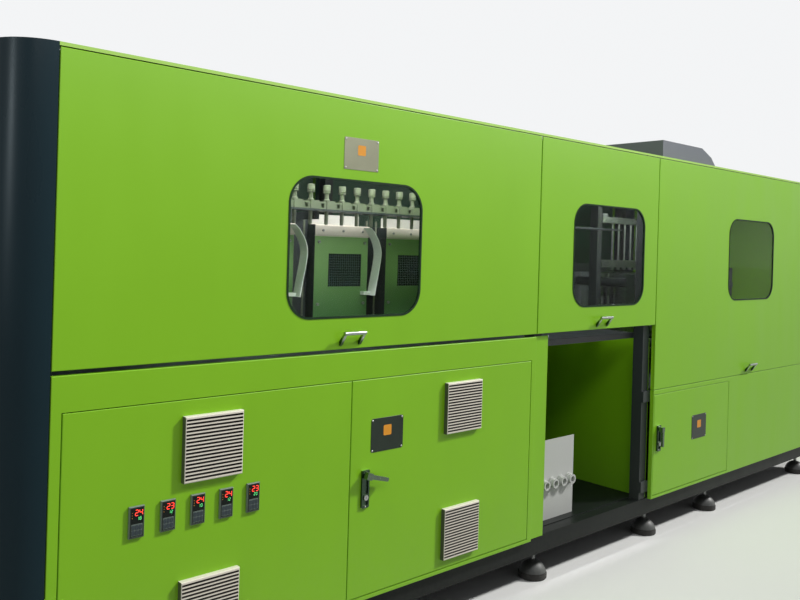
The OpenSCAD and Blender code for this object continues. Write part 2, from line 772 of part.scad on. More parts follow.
// Round lock core with a key slot
module lock_core(x, axis_z) {
    color([0.55, 0.56, 0.57]) place() translate([x, 0, axis_z - core_drop]) difference() {
        union() {
            y_bar(core_r, -plate_t - 3, 13);
            y_bar(core_r + 2, -plate_t - 5, -plate_t - 2 - fit);
        }
        translate([-1, -plate_t - 6, -4]) cube([2, 6, 8]);
    }
}
module lever_plate_oven() { lever_plate(plate_x, lever_axis_z); }
module lever_oven() { lever(plate_x, lever_axis_z, lever_droop, 0, oven_cam_len); }
module lock_core_oven() { lock_core(plate_x, lever_axis_z); }
module lever_plate_clamp() { lever_plate(clamp_plate_x, clamp_lever_axis_z); }
module lever_clamp() { lever(clamp_plate_x, clamp_lever_axis_z, 90, 90, clamp_cam_len); }
module lock_core_clamp() { lock_core(clamp_plate_x, clamp_lever_axis_z); }

// Spindle guide rail on its columns in the gaps between the oven modules
module spindle_rail() {
    slot_w = 28;
    column_d = 60;
    arm_w = 20;
    arm_y = spindle_y + slot_w / 2 + 6;
    color([0.24, 0.27, 0.28]) place() {
        difference() {
            translate([rail_x0, spindle_y - rail_w / 2, head_z]) cube([rail_x1 - rail_x0, rail_w, rail_h]);
            translate([rail_x0 + 60, spindle_y - slot_w / 2, head_z - 1])
                cube([rail_x1 - rail_x0 - 120, slot_w, rail_h + 2]);
        }
        for (x = column_x) {
            translate([x - column_w / 2, column_y, bed_z + bed_t])
                cube([column_w, column_d, head_z - bed_z - bed_t]);
            translate([x - arm_w / 2, arm_y, head_z - 30]) cube([arm_w, column_y + 10 - arm_y, 30 + eps]);
        }
    }
}

// Carriage: a bored clamp block for each spindle, and links with square pockets between them
function head_x(i) = spindle_x + i * spindle_pitch;
module spindle_carriage() {
    block_w = 40;
    link_h = block_h - 5;
    pocket = 16;
    color([0.50, 0.58, 0.54]) place() difference() {
        union() {
            translate([spindle_x - 36, spindle_y - 26, carriage_z]) cube([row_w - 4, 52, link_h]);
            for (i = [0:cavities - 1])
                translate([head_x(i) - block_w / 2, spindle_y - 30, carriage_z]) cube([block_w, 60, block_h]);
        }
        for (i = [0:cavities - 1]) translate([head_x(i), spindle_y, carriage_z - 1])
            cylinder(r = bore_r + pin_clear, h = block_h + 2);
        for (i = [0:cavities - 2])
            translate([head_x(i) + (spindle_pitch - pocket) / 2, spindle_y - 27, carriage_z + 6])
                cube([pocket, 13, pocket]);
    }
}

// Spindles: each a cap, a thin rim and a stepped mandrel in one turned piece
module spindles() {
    cap_top = 63;
    cap_r = 14.5;
    mandrel_r = 7.5;
    mandrel_end = -block_h - 59;
    color([0.72, 0.76, 0.74]) place() for (i = [0:cavities - 1])
        translate([head_x(i), spindle_y, carriage_z + block_h]) rotate_extrude()
            polygon([[0, cap_top], [cap_r - 2, cap_top], [cap_r, cap_top - 2], [cap_r, cap_top - 23],
                [11, cap_top - 24], [11, cap_top - 26], [cap_r + 1, cap_top - 27],
                [cap_r + 1, cap_top - 30], [8.5, cap_top - 32], [8.5, 8], [12, 6], [12, fit], [bore_r, fit],
                [bore_r, -block_h + 2], [mandrel_r, -block_h], [mandrel_r, mandrel_end + 4],
                [mandrel_r - 2, mandrel_end], [0, mandrel_end]]);
}

// Oven modules: sheet boxes with a beam along the front edge, a reflector sheet that
// stands on it, and a square lamp opening in front
function oven_x(i) = module_x + (i - modules + 2) * pitch_5;
module oven_housings() {
    side_inset = 4;
    box_z = bed_z + bed_t;
    box_top = beam_z + 5;
    box_t = 3;
    reflector_h = head_z - beam_z - beam_h - 4;
    color([0.34, 0.52, 0.26]) place() for (i = [0:modules - 1])
        translate([oven_x(i), module_y, 0]) difference() {
            union() {
                translate([side_inset, 6, box_z])
                    cube([module_w - 2 * side_inset, module_d - 6, box_top - box_z]);
                translate([0, 0, beam_z]) soft_block(module_w, 120, beam_h, 4);
                translate([0, 40, beam_z + beam_h - 1]) cube([module_w - 30, 3, reflector_h]);
            }
            translate([side_inset + box_t, 6 + box_t, box_z + box_t])
                cube([module_w - 2 * (side_inset + box_t), module_d, beam_z - box_z - box_t]);
            translate([lamp_win_x, -1, lamp_win_z]) cube([lamp_win[0], 20, lamp_win[1]]);
            translate([0, blower_y - module_y, blower_z])
                x_bar(blower_shaft_r + pin_clear, -1, module_w + 1);
        }
}

// Infrared lamps with their ceramic ends, behind each opening, on a reflector plate
module oven_lamps() {
    lamps = 5;
    lamp_pitch = lamp_win[1] / lamps;
    end_w = 20;
    inner_x = 7 + fit;
    lamp_w = module_w - 2 * inner_x;
    color([0.86, 0.84, 0.78]) place() for (i = [0:modules - 1])
        translate([oven_x(i) + inner_x, module_y, 0]) {
            translate([0, 70, lamp_win_z - 20]) cube([lamp_w, 3, lamp_win[1] + 40]);
            for (k = [0:lamps - 1]) translate([0, 50, lamp_win_z + (k + 0.5) * lamp_pitch]) {
                x_bar(lamp_r, 0, lamp_w);
                for (x = [0, lamp_w - end_w]) translate([x, -9, -9]) cube([end_w, 29.5, 18]);
            }
        }
}

// Curved air ducts: deep sheet ribbons that leave each beam's end and return lower down
module air_ducts() {
    sheet = 3;
    foot_h = 14;
    path = [[-36, 1657], [-17, 1641], [-5, 1624], [7, 1607], [15, 1590], [21, 1573], [24, 1556], [24, 1540],
        [22, 1524], [18, 1500], [13, 1473], [8, 1450], [4, 1430], [0, 1408], [-3, 1391], [-6, 1374]];
    color([0.80, 0.84, 0.80]) place() for (i = [0:modules - 1])
        translate([oven_x(i) + module_w, 0, 0]) {
            slab(module_y - duct_depth, module_y - fit)
                polygon(concat(path,
                    [for (k = [len(path) - 1:-1:0]) [path[k][0] + sheet, path[k][1] + 1]]));
            translate([-40, module_y - 20, 1376]) cube([38, 26 - fit, foot_h]);
        }
}

// Blower rotor: a shaft through all modules with a ring of vanes in each
module blower_rotor() {
    vanes = 12;
    wheel_w = 90;
    x0 = oven_x(0) + 14;
    x1 = oven_x(modules - 1) + module_w - 14;
    color([0.55, 0.57, 0.58]) place() translate([0, blower_y, blower_z]) {
        x_bar(blower_shaft_r, x0 - 30, x1 + 30);
        for (i = [0:modules - 1]) {
            mid = oven_x(i) + module_w / 2;
            x_bar(blower_r, mid - 2, mid + 2);
            for (v = [0:vanes - 1]) rotate([v * 360 / vanes, 0, 0])
                translate([mid - wheel_w / 2, 18, 0]) rotate([25, 0, 0])
                    translate([0, 40, -20]) cube([wheel_w, 30, 3]);
        }
    }
}

// Clamp frame: two end plates joined by four tie bars
module tie_bars(y0, y1, r) {
    for (x = [-tie_x, tie_x], z = [mould_z + 60, mould_z + mould_h - 60])
        translate([x, 0, z]) y_bar(r, y0, y1);
}
module at_clamp() { place() translate([clamp_mid_x, 0, 0]) children(); }
module clamp_frame() {
    foot_z = clamp_bed_z + bed_t + fit;
    plate_top = mould_z + mould_h + 60;
    color([0.42, 0.45, 0.47]) at_clamp() difference() {
        union() {
            for (y = [clamp_mid_y - end_plate_y, clamp_mid_y + end_plate_y - end_plate_t])
                translate([-platen_w / 2, y, foot_z]) cube([platen_w, end_plate_t, plate_top - foot_z]);
            tie_bars(clamp_mid_y - end_plate_y - 12, clamp_mid_y + end_plate_y + 12, tie_r);
        }
        translate([-200, 0, mould_z + 90])
            slab(clamp_mid_y - end_plate_y - 1, clamp_mid_y - end_plate_y + end_plate_t + 1)
                round_rect(400, 320, 40);
    }
}

// Clamp cylinders: two barrels on each end plate
module clamp_cylinders() {
    barrel = 160;
    rod_z = mould_z + mould_h / 2;
    color([0.62, 0.64, 0.66]) at_clamp() for (side = [-1, 1], x = [-rod_x, rod_x])
        translate([x, clamp_mid_y, rod_z]) mirror([0, side > 0 ? 1 : 0, 0])
            translate([0, -end_plate_y + end_plate_t + fit, 0]) difference() {
                union() {
                    y_bar(52, 0, barrel);
                    translate([-60, 0, -60]) cube([120, 20, 120]);
                    translate([-60, barrel - 24, -60]) cube([120, 24, 120]);
                }
                y_bar(rod_r + pin_clear, 8, barrel + 1);
            }
}

// Moving platens with their piston rods; side -1 is the front one, 1 the rear one
module platen(side) {
    back_y = mould_travel + mould_t + platen_t;
    color([0.50, 0.53, 0.55]) at_clamp() translate([0, clamp_mid_y, 0]) mirror([0, side > 0 ? 1 : 0, 0])
        difference() {
            union() {
                translate([-platen_w / 2, -back_y, mould_z]) cube([platen_w, platen_t, mould_h]);
                for (x = [-rod_x, rod_x])
                    translate([x, 0, mould_z + mould_h / 2]) y_bar(rod_r, -back_y - 130, -back_y + 1);
            }
            tie_bars(-back_y - 1, -back_y + platen_t + 1, tie_r + pin_clear);
        }
}
module front_platen() { platen(-1); }
module rear_platen() { platen(1); }

// Bottle cavity outline with a ribbed body, a shoulder and a neck open at the mould's top
module bottle_outline() {
    neck_r = 14;
    base = 60;
    body_top = mould_h - 170;
    polygon(concat(
        [[0, base], [bottle_r - 8, base], [bottle_r, base + 9]],
        [for (k = [0:3], p = [[0, 0], [-2, 5], [-2, 9], [0, 14]])
            [bottle_r + p[0], base + 50 + k * 40 + p[1]]],
        [[bottle_r, body_top], [neck_r, mould_h - 70], [neck_r, mould_h + 1], [0, mould_h + 1]]));
}

// Mould halves with half of each bottle cavity
module mould_half(side) {
    color([0.68, 0.70, 0.71]) at_clamp() translate([0, clamp_mid_y, mould_z]) mirror([0, side > 0 ? 1 : 0, 0])
        difference() {
            translate([-mould_w / 2, -mould_travel - mould_t, 0]) cube([mould_w, mould_t, mould_h]);
            for (i = [0:cavities - 1])
                translate([(i - (cavities - 1) / 2) * spindle_pitch, -mould_travel, 0])
                    rotate_extrude() bottle_outline();
        }
}
module front_mould() { mould_half(-1); }
module rear_mould() { mould_half(1); }

// Portal over the mould whose legs guide the nozzle and stretch beams
module stretch_portal() {
    leg_w = 50;
    foot_z = clamp_bed_z + bed_t + fit;
    portal_h = stretch_z + 190 - foot_z;
    color([0.30, 0.33, 0.35]) at_clamp() translate([0, clamp_mid_y, foot_z]) difference() {
        translate([-leg_x - leg_w, -30, 0]) cube([2 * (leg_x + leg_w), 60, portal_h]);
        translate([-leg_x, -31, -1]) cube([2 * leg_x, 62, portal_h - 59]);
    }
}

// Beam with the stretch rods
module at_cavities() {
    for (i = [0:cavities - 1]) translate([(i - (cavities - 1) / 2) * spindle_pitch, 0, 0]) children();
}
module stretch_beam() {
    rod_low = nozzle_z + 4;
    color([0.62, 0.65, 0.67]) at_clamp() translate([0, clamp_mid_y, 0]) {
        translate([-leg_x + fit, -25, stretch_z]) cube([2 * (leg_x - fit), 50, 40]);
        for (x = [-leg_x + fit, leg_x - fit - 60])
            translate([x, -36, stretch_z + eps]) cube([60, 72, 60]);
        at_cavities() translate([0, 0, rod_low]) cylinder(r = 6, h = stretch_z - rod_low + 1);
    }
}

// Beam with the blow nozzles, bored for the stretch rods
module nozzle_beam() {
    nozzle_r = 13;
    color([0.56, 0.58, 0.55]) at_clamp() translate([0, clamp_mid_y, nozzle_z]) difference() {
        union() {
            translate([-leg_x + fit, -32, 0]) cube([2 * (leg_x - fit), 64, nozzle_h]);
            at_cavities() translate([0, 0, -18]) cylinder(r = nozzle_r, h = 19);
        }
        at_cavities() translate([0, 0, -19]) cylinder(r = 6 + pin_clear, h = nozzle_h + 20);
    }
}

// Base mould: a lifting plate with a plug under each cavity, on two guide rods
module base_mould() {
    plate_z = mould_z - nozzle_travel - 30;
    color([0.60, 0.62, 0.63]) at_clamp() translate([0, clamp_mid_y, 0]) {
        translate([-mould_w / 2, -48, plate_z]) cube([mould_w, 96, 20]);
        at_cavities() translate([0, 0, plate_z + 19]) cylinder(r = bottle_r - 4, h = 6);
        for (side = [-1, 1]) translate([side * lift_x, 0, clamp_bed_z - 20])
            cylinder(r = lift_r, h = plate_z - clamp_bed_z + 21);
    }
}

// Mounting plate for the controls, hung from the machine bed: rails, drives and contactors
module control_plate() {
    plate_w = 1900;
    plate_low = 330;
    plate_y = 520;
    top = bed_z - fit;
    color([0.72, 0.73, 0.72]) place() translate([130, plate_y, 0]) {
        translate([0, 0, plate_low]) cube([plate_w, 3, top - plate_low]);
        translate([0, 0, top - 3]) cube([plate_w, 40, 3]);
        for (row = [0:3], i = [0:11])
            translate([60 + i * 150, -70, plate_low + 50 + row * 180])
                cube([row % 2 == 0 ? 110 : 54, 71, 110]);
        for (row = [0:3])
            translate([40, -12, plate_low + 88 + row * 180]) cube([plate_w - 80, 13, 35]);
    }
}

// Service panel in the open bay, with four threaded hose sockets
module service_panel() {
    panel_y = 140;
    panel_w = 290;
    color([0.76, 0.77, 0.76]) place() translate([socket_x - 40, panel_y, 0]) difference() {
        union() {
            translate([0, 0, deck_z]) cube([panel_w, 4, 400]);
            translate([0, 0, deck_z]) cube([panel_w, 90, 4]);
            for (i = [0:3]) translate([40 + i * socket_pitch, 0, socket_z]) {
                y_bar(24, -30, 1);
                y_bar(28, -10, 1);
            }
        }
        for (i = [0:3]) translate([40 + i * socket_pitch, 0, socket_z]) y_bar(socket_r, -31, 5);
    }
}

// Compressed air tank with dished ends on two saddles
module air_tank() {
    end_r = tank_r * 0.45;
    saddle_w = 40;
    saddle_x = 150;
    axis_z = deck_z + tank_r + 40;
    color([0.30, 0.36, 0.42]) place() translate([tank_x, tank_y, 0]) {
        translate([0, 0, axis_z]) rotate([0, 90, 0]) rotate_extrude() intersection() {
            translate([-tank_r, 0]) round_rect(2 * tank_r, tank_len, end_r);
            square([tank_r, tank_len]);
        }
        for (x = [saddle_x, tank_len - saddle_x - saddle_w])
            translate([x, -110, deck_z]) cube([saddle_w, 220, 90]);
    }
}

// Valve manifold for the blowing air on the clamp section's bed
module air_valves() {
    valve_pitch = 42;
    color([0.45, 0.47, 0.50]) place()
        translate([clamp_mid_x + platen_w / 2 + 160, clamp_mid_y - 50, clamp_bed_z + bed_t + fit]) {
            cube([cavities * valve_pitch + 20, 120, 60]);
            for (i = [0:cavities - 1]) translate([12 + i * valve_pitch, 20, 59]) {
                cube([34, 80, 46]);
                translate([17, 40, 45]) cylinder(r = 13, h = 52);
            }
        }
}

base_frame();
foot_pads();
foot_studs();
front_corner_posts();
rear_corner_posts();
end_panels();
rear_panels();
roof_panels();
roof_cowl();
inner_frame();
bed_plates();
lower_front_oven();
side_panels();
lower_front_clamp();
upper_hinge_pins();
upper_door_oven();
upper_door_transfer();
upper_door_clamp();
window_seal_oven();
window_seal_transfer();
window_seal_clamp();
window_pane_oven();
window_pane_transfer();
window_pane_clamp();
pull_handle_oven();
pull_handle_transfer();
pull_handle_clamp();
lower_door_left();
lower_door_right();
lower_door_clamp();
grilles_left();
grilles_right();
temperature_controllers();
lever_plate_oven();
lever_oven();
lock_core_oven();
lever_plate_clamp();
lever_clamp();
lock_core_clamp();
spindle_rail();
spindle_carriage();
spindles();
oven_housings();
oven_lamps();
air_ducts();
blower_rotor();
clamp_frame();
clamp_cylinders();
front_platen();
rear_platen();
front_mould();
rear_mould();
stretch_portal();
stretch_beam();
nozzle_beam();
base_mould();
control_plate();
service_panel();
air_tank();
air_valves();
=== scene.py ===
# %% [markdown]
# # A linear bottle blow moulding machine
# The machine is a long line of sheet steel covers on a channel base: an oven section for the
# preforms, a transfer section and a clamp section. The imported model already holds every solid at
# its real size, so this lesson gives each one its finish. Then it adds the fine parts that a
# maker fits last: plates with rivets, lit numbers and keys, filter mats, wire guards, screws,
# perforated strips and the threads on the feet.

# %% Load the frame
import math

import bpy
import bmesh
from mathutils import Matrix, Vector


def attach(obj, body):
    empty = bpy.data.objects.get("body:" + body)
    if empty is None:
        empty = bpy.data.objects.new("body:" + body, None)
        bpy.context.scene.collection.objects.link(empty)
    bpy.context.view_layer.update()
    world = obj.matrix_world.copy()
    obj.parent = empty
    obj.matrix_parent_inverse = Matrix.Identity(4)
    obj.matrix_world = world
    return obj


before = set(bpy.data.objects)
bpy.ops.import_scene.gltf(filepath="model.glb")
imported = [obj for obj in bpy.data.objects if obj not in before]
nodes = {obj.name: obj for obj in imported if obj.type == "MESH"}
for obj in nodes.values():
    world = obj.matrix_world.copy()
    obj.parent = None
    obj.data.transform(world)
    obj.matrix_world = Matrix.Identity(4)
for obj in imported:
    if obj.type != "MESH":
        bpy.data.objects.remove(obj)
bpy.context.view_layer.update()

# %% [markdown]
# ## The camera
# The photographer stood close to the left end at eye height and looked along the front. A 36 mm
# lens on a 36 mm sensor, turned 42 degrees from straight on, gives the same strong perspective.
# The camera isn't tilted: a small shift lowers the view instead, so upright edges stay parallel,
# and a slight roll leans them as in the photo. A constraint could aim the camera at a point, but
# a matrix built from its three directions holds the yaw and the roll exactly.

# %% Place the camera
CAMERA_PLACE = Vector((-3.546, -3.206, 1.5695))
CAMERA_YAW = math.radians(42)
CAMERA_ROLL = math.radians(1.645)
LENS_MM = 36
SENSOR_MM = 36
SHIFT_Y = -0.0625

scene = bpy.context.scene
camera = bpy.data.objects.new("camera", bpy.data.cameras.new("camera"))
scene.collection.objects.link(camera)
scene.camera = camera
level_right = Vector((math.cos(CAMERA_YAW), -math.sin(CAMERA_YAW), 0))
upward = Vector((0, 0, 1))
right = math.cos(CAMERA_ROLL) * level_right + math.sin(CAMERA_ROLL) * upward
up = -math.sin(CAMERA_ROLL) * level_right + math.cos(CAMERA_ROLL) * upward
back = right.cross(up)
camera.matrix_world = Matrix.Translation(CAMERA_PLACE) @ Matrix((right, up, back)).transposed().to_4x4()
camera.data.lens = LENS_MM
camera.data.sensor_width = SENSOR_MM
camera.data.shift_y = SHIFT_Y
print("camera looks along", [round(v, 3) for v in -back])

# %% [markdown]
# ## Helpers for shader nodes
# Every finish is built from the same few nodes: a sum or product, a noise pattern, and a colour
# made lighter or darker by a pattern. They could be wired by hand in the shader editor. As
# functions they stay short, and each material below reads like a recipe.

# %% Make a node group with named sockets
SOCKETS = {"float": "NodeSocketFloat", "color": "NodeSocketColor", "vector": "NodeSocketVector"}


def make_group(name, inputs, outputs):
    group = bpy.data.node_groups.new(name, "ShaderNodeTree")
    for label, kind, value in inputs:
        socket = group.interface.new_socket(name=label, in_out="INPUT", socket_type=SOCKETS[kind])
        socket.default_value = value
    for label, kind in outputs:
        group.interface.new_socket(name=label, in_out="OUTPUT", socket_type=SOCKETS[kind])
    start = group.nodes.new("NodeGroupInput")
    end = group.nodes.new("NodeGroupOutput")
    return group, start, end


print("socket kinds:", list(SOCKETS))

# %% Add single nodes and wire them
def add(tree, kind, **values):
    node = tree.nodes.new(kind)
    for key, value in values.items():
        setattr(node, key, value)
    return node


def feed(tree, value, socket):
    """Sets a socket to a number, or links another node's output to it."""
    if isinstance(value, (int, float)):
        socket.default_value = value
    else:
        tree.links.new(value, socket)


def math_node(tree, operation, *values):
    node = add(tree, "ShaderNodeMath", operation=operation)
    for socket, value in zip(node.inputs, values):
        feed(tree, value, socket)
    return node.outputs[0]


def noise(tree, vector, scale, detail=3.0, stretch=(1, 1, 1)):
    mapping = add(tree, "ShaderNodeMapping")
    mapping.inputs["Scale"].default_value = stretch
    tree.links.new(vector, mapping.inputs["Vector"])
    node = add(tree, "ShaderNodeTexNoise")
    node.inputs["Detail"].default_value = detail
    tree.links.new(mapping.outputs[0], node.inputs["Vector"])
    feed(tree, scale, node.inputs["Scale"])
    return node.outputs["Fac"]


print("node helpers:", [f.__name__ for f in (add, feed, math_node, noise)])

# %% Swing a pattern, change a colour and raise a bump
def swing(tree, pattern, amount):
    """Turns a pattern from 0 to 1 into one that swings both ways round zero."""
    return math_node(tree, "MULTIPLY", math_node(tree, "SUBTRACT", pattern, 0.5), amount)


def tint(tree, color, amount):
    """Multiplies a colour by a grey value."""
    mix = add(tree, "ShaderNodeMix", data_type="RGBA", blend_type="MULTIPLY")
    mix.inputs["Factor"].default_value = 1.0
    tree.links.new(color, mix.inputs["A"])
    grey = add(tree, "ShaderNodeCombineColor")
    for channel in ("Red", "Green", "Blue"):
        tree.links.new(amount, grey.inputs[channel])
    tree.links.new(grey.outputs[0], mix.inputs["B"])
    return mix.outputs["Result"]


def mix_colors(tree, factor, color, other):
    """Goes from a colour socket to another colour as the factor goes from 0 to 1."""
    mix = add(tree, "ShaderNodeMix", data_type="RGBA")
    tree.links.new(factor, mix.inputs["Factor"])
    tree.links.new(color, mix.inputs["A"])
    mix.inputs["B"].default_value = other
    return mix.outputs["Result"]


BUMP_DEPTH = 0.001


def bump_from(tree, height):
    """Turns a height pattern into a normal; a height of 1 stands for 1 mm."""
    bump = add(tree, "ShaderNodeBump")
    bump.inputs["Strength"].default_value = 1.0
    bump.inputs["Distance"].default_value = BUMP_DEPTH
    tree.links.new(height, bump.inputs["Height"])
    return bump.outputs[0]


print("bump depth:", BUMP_DEPTH, "m")

# %% [markdown]
# ## Painted and moulded surfaces
# Powder coat, rubber and moulded plastic differ in colour, but what makes them look real repeats:
# the tint drifts a little, long smears run down, a fine grain and a slow wave bend the light, and
# dust gathers low down. Pictures could show that, but computed patterns have no seams and stay
# sharp close up. So one node group holds it all, and each material sets its own values.

# %% The surface group
DUST_TINT = (0.42, 0.39, 0.33, 1)
SMEAR_SCALE = 7.0
SMEAR_STRETCH = (1, 1, 0.25)
SPECK_SCALE = 55.0
FOLD_WAVE_SCALE = 2.2
SMEAR_ROUGHNESS = 0.25


def build_surface_group():
    inputs = [
        ("Color", "color", (0.5, 0.5, 0.5, 1)),
        ("Drift", "float", 0.06),
        ("Drift Scale", "float", 1.5),
        ("Grain Scale", "float", 400.0),
        ("Grain Bump", "float", 0.05),
        ("Wave Bump", "float", 0.0),
        ("Roughness", "float", 0.4),
        ("Dust", "float", 0.1),
        ("Dust Height", "float", 0.5),
    ]
    outputs = [("Color", "color"), ("Roughness", "float"), ("Normal", "vector")]
    group, start, end = make_group("painted_surface", inputs, outputs)
    place = add(group, "ShaderNodeTexCoord").outputs["Object"]
    drift = noise(group, place, start.outputs["Drift Scale"], detail=4)
    drift_swing = swing(group, drift, math_node(group, "MULTIPLY", start.outputs["Drift"], 2))
    smear = noise(group, place, SMEAR_SCALE, detail=6, stretch=SMEAR_STRETCH)
    smear_swing = swing(group, smear, start.outputs["Drift"])
    brightness = math_node(group, "ADD", math_node(group, "ADD", drift_swing, smear_swing), 1.0)
    color = tint(group, start.outputs["Color"], brightness)

    height = add(group, "ShaderNodeSeparateXYZ")
    group.links.new(place, height.inputs[0])
    low = math_node(group, "DIVIDE", height.outputs["Z"], start.outputs["Dust Height"])
    low = math_node(group, "MAXIMUM", math_node(group, "SUBTRACT", 1.0, low), 0.0)
    speck = noise(group, place, SPECK_SCALE, detail=8)
    dust = math_node(group, "MULTIPLY", math_node(group, "MULTIPLY", low, speck), start.outputs["Dust"])
    group.links.new(mix_colors(group, dust, color, DUST_TINT), end.inputs["Color"])

    rough = math_node(group, "ADD", start.outputs["Roughness"], swing(group, smear, SMEAR_ROUGHNESS))
    group.links.new(math_node(group, "ADD", rough, dust), end.inputs["Roughness"])

    grain = noise(group, place, start.outputs["Grain Scale"], detail=2)
    wave = noise(group, place, FOLD_WAVE_SCALE, detail=1)
    relief = math_node(group, "ADD", math_node(group, "MULTIPLY", grain, start.outputs["Grain Bump"]),
                       math_node(group, "MULTIPLY", wave, start.outputs["Wave Bump"]))
    group.links.new(bump_from(group, relief), end.inputs["Normal"])
    return group


surface_group = build_surface_group()
print("surface group:", [s.name for s in surface_group.interface.items_tree])

# %% [markdown]
# ## Brushed and cast metal
# Brushed metal is a bundle of fine scratches, all along one direction. The shader's anisotropy
# could stretch the highlights, but it draws no line. Noise that is stretched along one axis gives
# lines that change the tone, the roughness and the normal together, as real scratches do. A slow
# stain keeps large faces from looking the same all over.

# %% The brushed group
STAIN_SCALE = 9.0
SCRATCH_TONE = 0.25
SCRATCH_ROUGHNESS = 0.3


def build_brushed_group():
    inputs = [
        ("Color", "color", (0.5, 0.5, 0.5, 1)),
        ("Along", "vector", (1, 1, 1)),
        ("Scratch Scale", "float", 300.0),
        ("Scratch Bump", "float", 0.05),
        ("Roughness", "float", 0.3),
        ("Stain", "float", 0.15),
    ]
    outputs = [("Color", "color"), ("Roughness", "float"), ("Normal", "vector")]
    group, start, end = make_group("brushed_surface", inputs, outputs)
    place = add(group, "ShaderNodeTexCoord").outputs["Object"]
    stretched = add(group, "ShaderNodeVectorMath", operation="MULTIPLY")
    group.links.new(place, stretched.inputs[0])
    group.links.new(start.outputs["Along"], stretched.inputs[1])
    scratch = noise(group, stretched.outputs[0], start.outputs["Scratch Scale"], detail=3)
    stain = noise(group, place, STAIN_SCALE, detail=5)
    brightness = math_node(group, "ADD", swing(group, stain, start.outputs["Stain"]), 1.0)
    brightness = math_node(group, "ADD", brightness, swing(group, scratch, SCRATCH_TONE))
    group.links.new(tint(group, start.outputs["Color"], brightness), end.inputs["Color"])
    rough = math_node(group, "ADD", start.outputs["Roughness"], swing(group, scratch, SCRATCH_ROUGHNESS))
    group.links.new(rough, end.inputs["Roughness"])
    relief = math_node(group, "MULTIPLY", scratch, start.outputs["Scratch Bump"])
    group.links.new(bump_from(group, relief), end.inputs["Normal"])
    return group


brushed_group = build_brushed_group()
print("brushed group:", [s.name for s in brushed_group.interface.items_tree])

# %% [markdown]
# ## Makers for the finishes
# Each finish is one material with the Principled shader in it. The group feeds what changes over
# the surface. Values that are the same all over, such as the coat or the metal, could pass
# through the group too, but on the shader's own sockets an export can read them.

# %% Colours and the start of a material
def srgb(r, g, b):
    """Turns screen values from 0 to 255 into a scene colour."""
    def linear(v):
        v = v / 255
        return v / 12.92 if v <= 0.04045 else ((v + 0.055) / 1.055) ** 2.4
    return (linear(r), linear(g), linear(b), 1)


def new_material(name):
    material = bpy.data.materials.new(name)
    material.use_nodes = True
    return material, material.node_tree.nodes["Principled BSDF"]


def start_material(name, group, values):
    material, shader = new_material(name)
    tree = material.node_tree
    effect = add(tree, "ShaderNodeGroup", node_tree=group)
    for key, value in values.items():
        effect.inputs[key].default_value = value
    tree.links.new(effect.outputs["Color"], shader.inputs["Base Color"])
    tree.links.new(effect.outputs["Roughness"], shader.inputs["Roughness"])
    tree.links.new(effect.outputs["Normal"], shader.inputs["Normal"])
    return material, shader


print("mid grey on the screen is", round(srgb(128, 128, 128)[0], 3), "in the scene")

# %% A painted and a brushed finish
def painted(name, color, rough=0.38, drift=0.05, drift_scale=1.2, grain=420.0, grain_bump=0.04,
            wave=0.0, dust=0.12, dust_height=0.6, coat=0.0, metallic=0.0, coat_rough=0.08, specular=0.5):
    values = {"Color": color, "Drift": drift, "Drift Scale": drift_scale, "Grain Scale": grain,
              "Grain Bump": grain_bump, "Wave Bump": wave, "Roughness": rough, "Dust": dust,
              "Dust Height": dust_height}
    material, shader = start_material(name, surface_group, values)
    shader.inputs["Coat Weight"].default_value = coat
    shader.inputs["Coat Roughness"].default_value = coat_rough
    shader.inputs["Metallic"].default_value = metallic
    shader.inputs["Specular IOR Level"].default_value = specular
    return material


def brushed(name, color, rough=0.3, along=(1, 1, 1), scale=300.0, bump=0.05, stain=0.15):
    values = {"Color": color, "Along": along, "Scratch Scale": scale, "Scratch Bump": bump,
              "Roughness": rough, "Stain": stain}
    material, shader = start_material(name, brushed_group, values)
    shader.inputs["Metallic"].default_value = 1.0
    return material


print("finish makers:", painted.__name__, "and", brushed.__name__)

# %% [markdown]
# ## Covers, posts and frames
# The covers are a bright lime powder coat with a faint wave from the folding and a trace of dust
# near the floor. The corner posts have a dark blue-grey coat and the base is near black. The inner
# frames and bed plates are painted near black too, as painted shade for the gaps that show them.
# One lime paint could serve every sheet, but the rear covers and the roof get painted shade on
# their inner faces, and the roof is painted a paler green, a painted highlight for the bright line
# along its lip, so these two get materials of their own.

# %% Finishes of the large pieces
LIME = srgb(128, 187, 22)
cover_green = painted("cover_green", LIME, rough=0.4, drift=0.05, wave=2.2, grain_bump=0.06,
                      coat=0.08, coat_rough=0.2, specular=0.38)
# Same lime as the covers; its inner faces get painted shade further down.
inner_shaded_green = painted("inner_shaded_green", LIME, rough=0.42, drift=0.05, wave=2.2, grain_bump=0.06,
                      specular=0.38)
# The roof is painted paler than the covers: a painted highlight for the bright line along its lip.
roof_green = painted("roof_green", srgb(160, 205, 84), rough=0.4, wave=2.0, dust=0.0)
post_blue = painted("post_blue", srgb(20, 42, 50), rough=0.3, drift=0.12, dust=0.0, specular=0.14)
base_black = painted("base_black", srgb(15, 20, 20), rough=0.42, drift=0.2, drift_scale=4, dust=0.08,
                     dust_height=0.3, specular=0.15)
# Painted shade: the inner frames and bed plates are darker than frame grey, so the gaps that show them
# read dark.
gap_shaded_frame = painted("gap_shaded_frame", srgb(34, 40, 42), rough=0.5, drift=0.12, dust=0.1)
frame_grey = painted("frame_grey", srgb(54, 60, 62), rough=0.45, drift=0.12, dust=0.1)
cowl_grey = painted("cowl_grey", srgb(96, 100, 110), rough=0.42, drift=0.08, wave=1.0, dust=0.0)
panel_grey = painted("panel_grey", srgb(190, 192, 190), rough=0.42, drift=0.06, dust=0.2)
tank_blue = painted("tank_blue", srgb(70, 88, 106), rough=0.35, drift=0.08, coat=0.3)
foot_iron = painted("foot_iron", srgb(50, 55, 56), rough=0.42, drift=0.25, drift_scale=25, grain=260.0,
                    grain_bump=0.35, dust=0.2, dust_height=0.25)
print("lime in the scene:", [round(v, 3) for v in LIME[:3]])

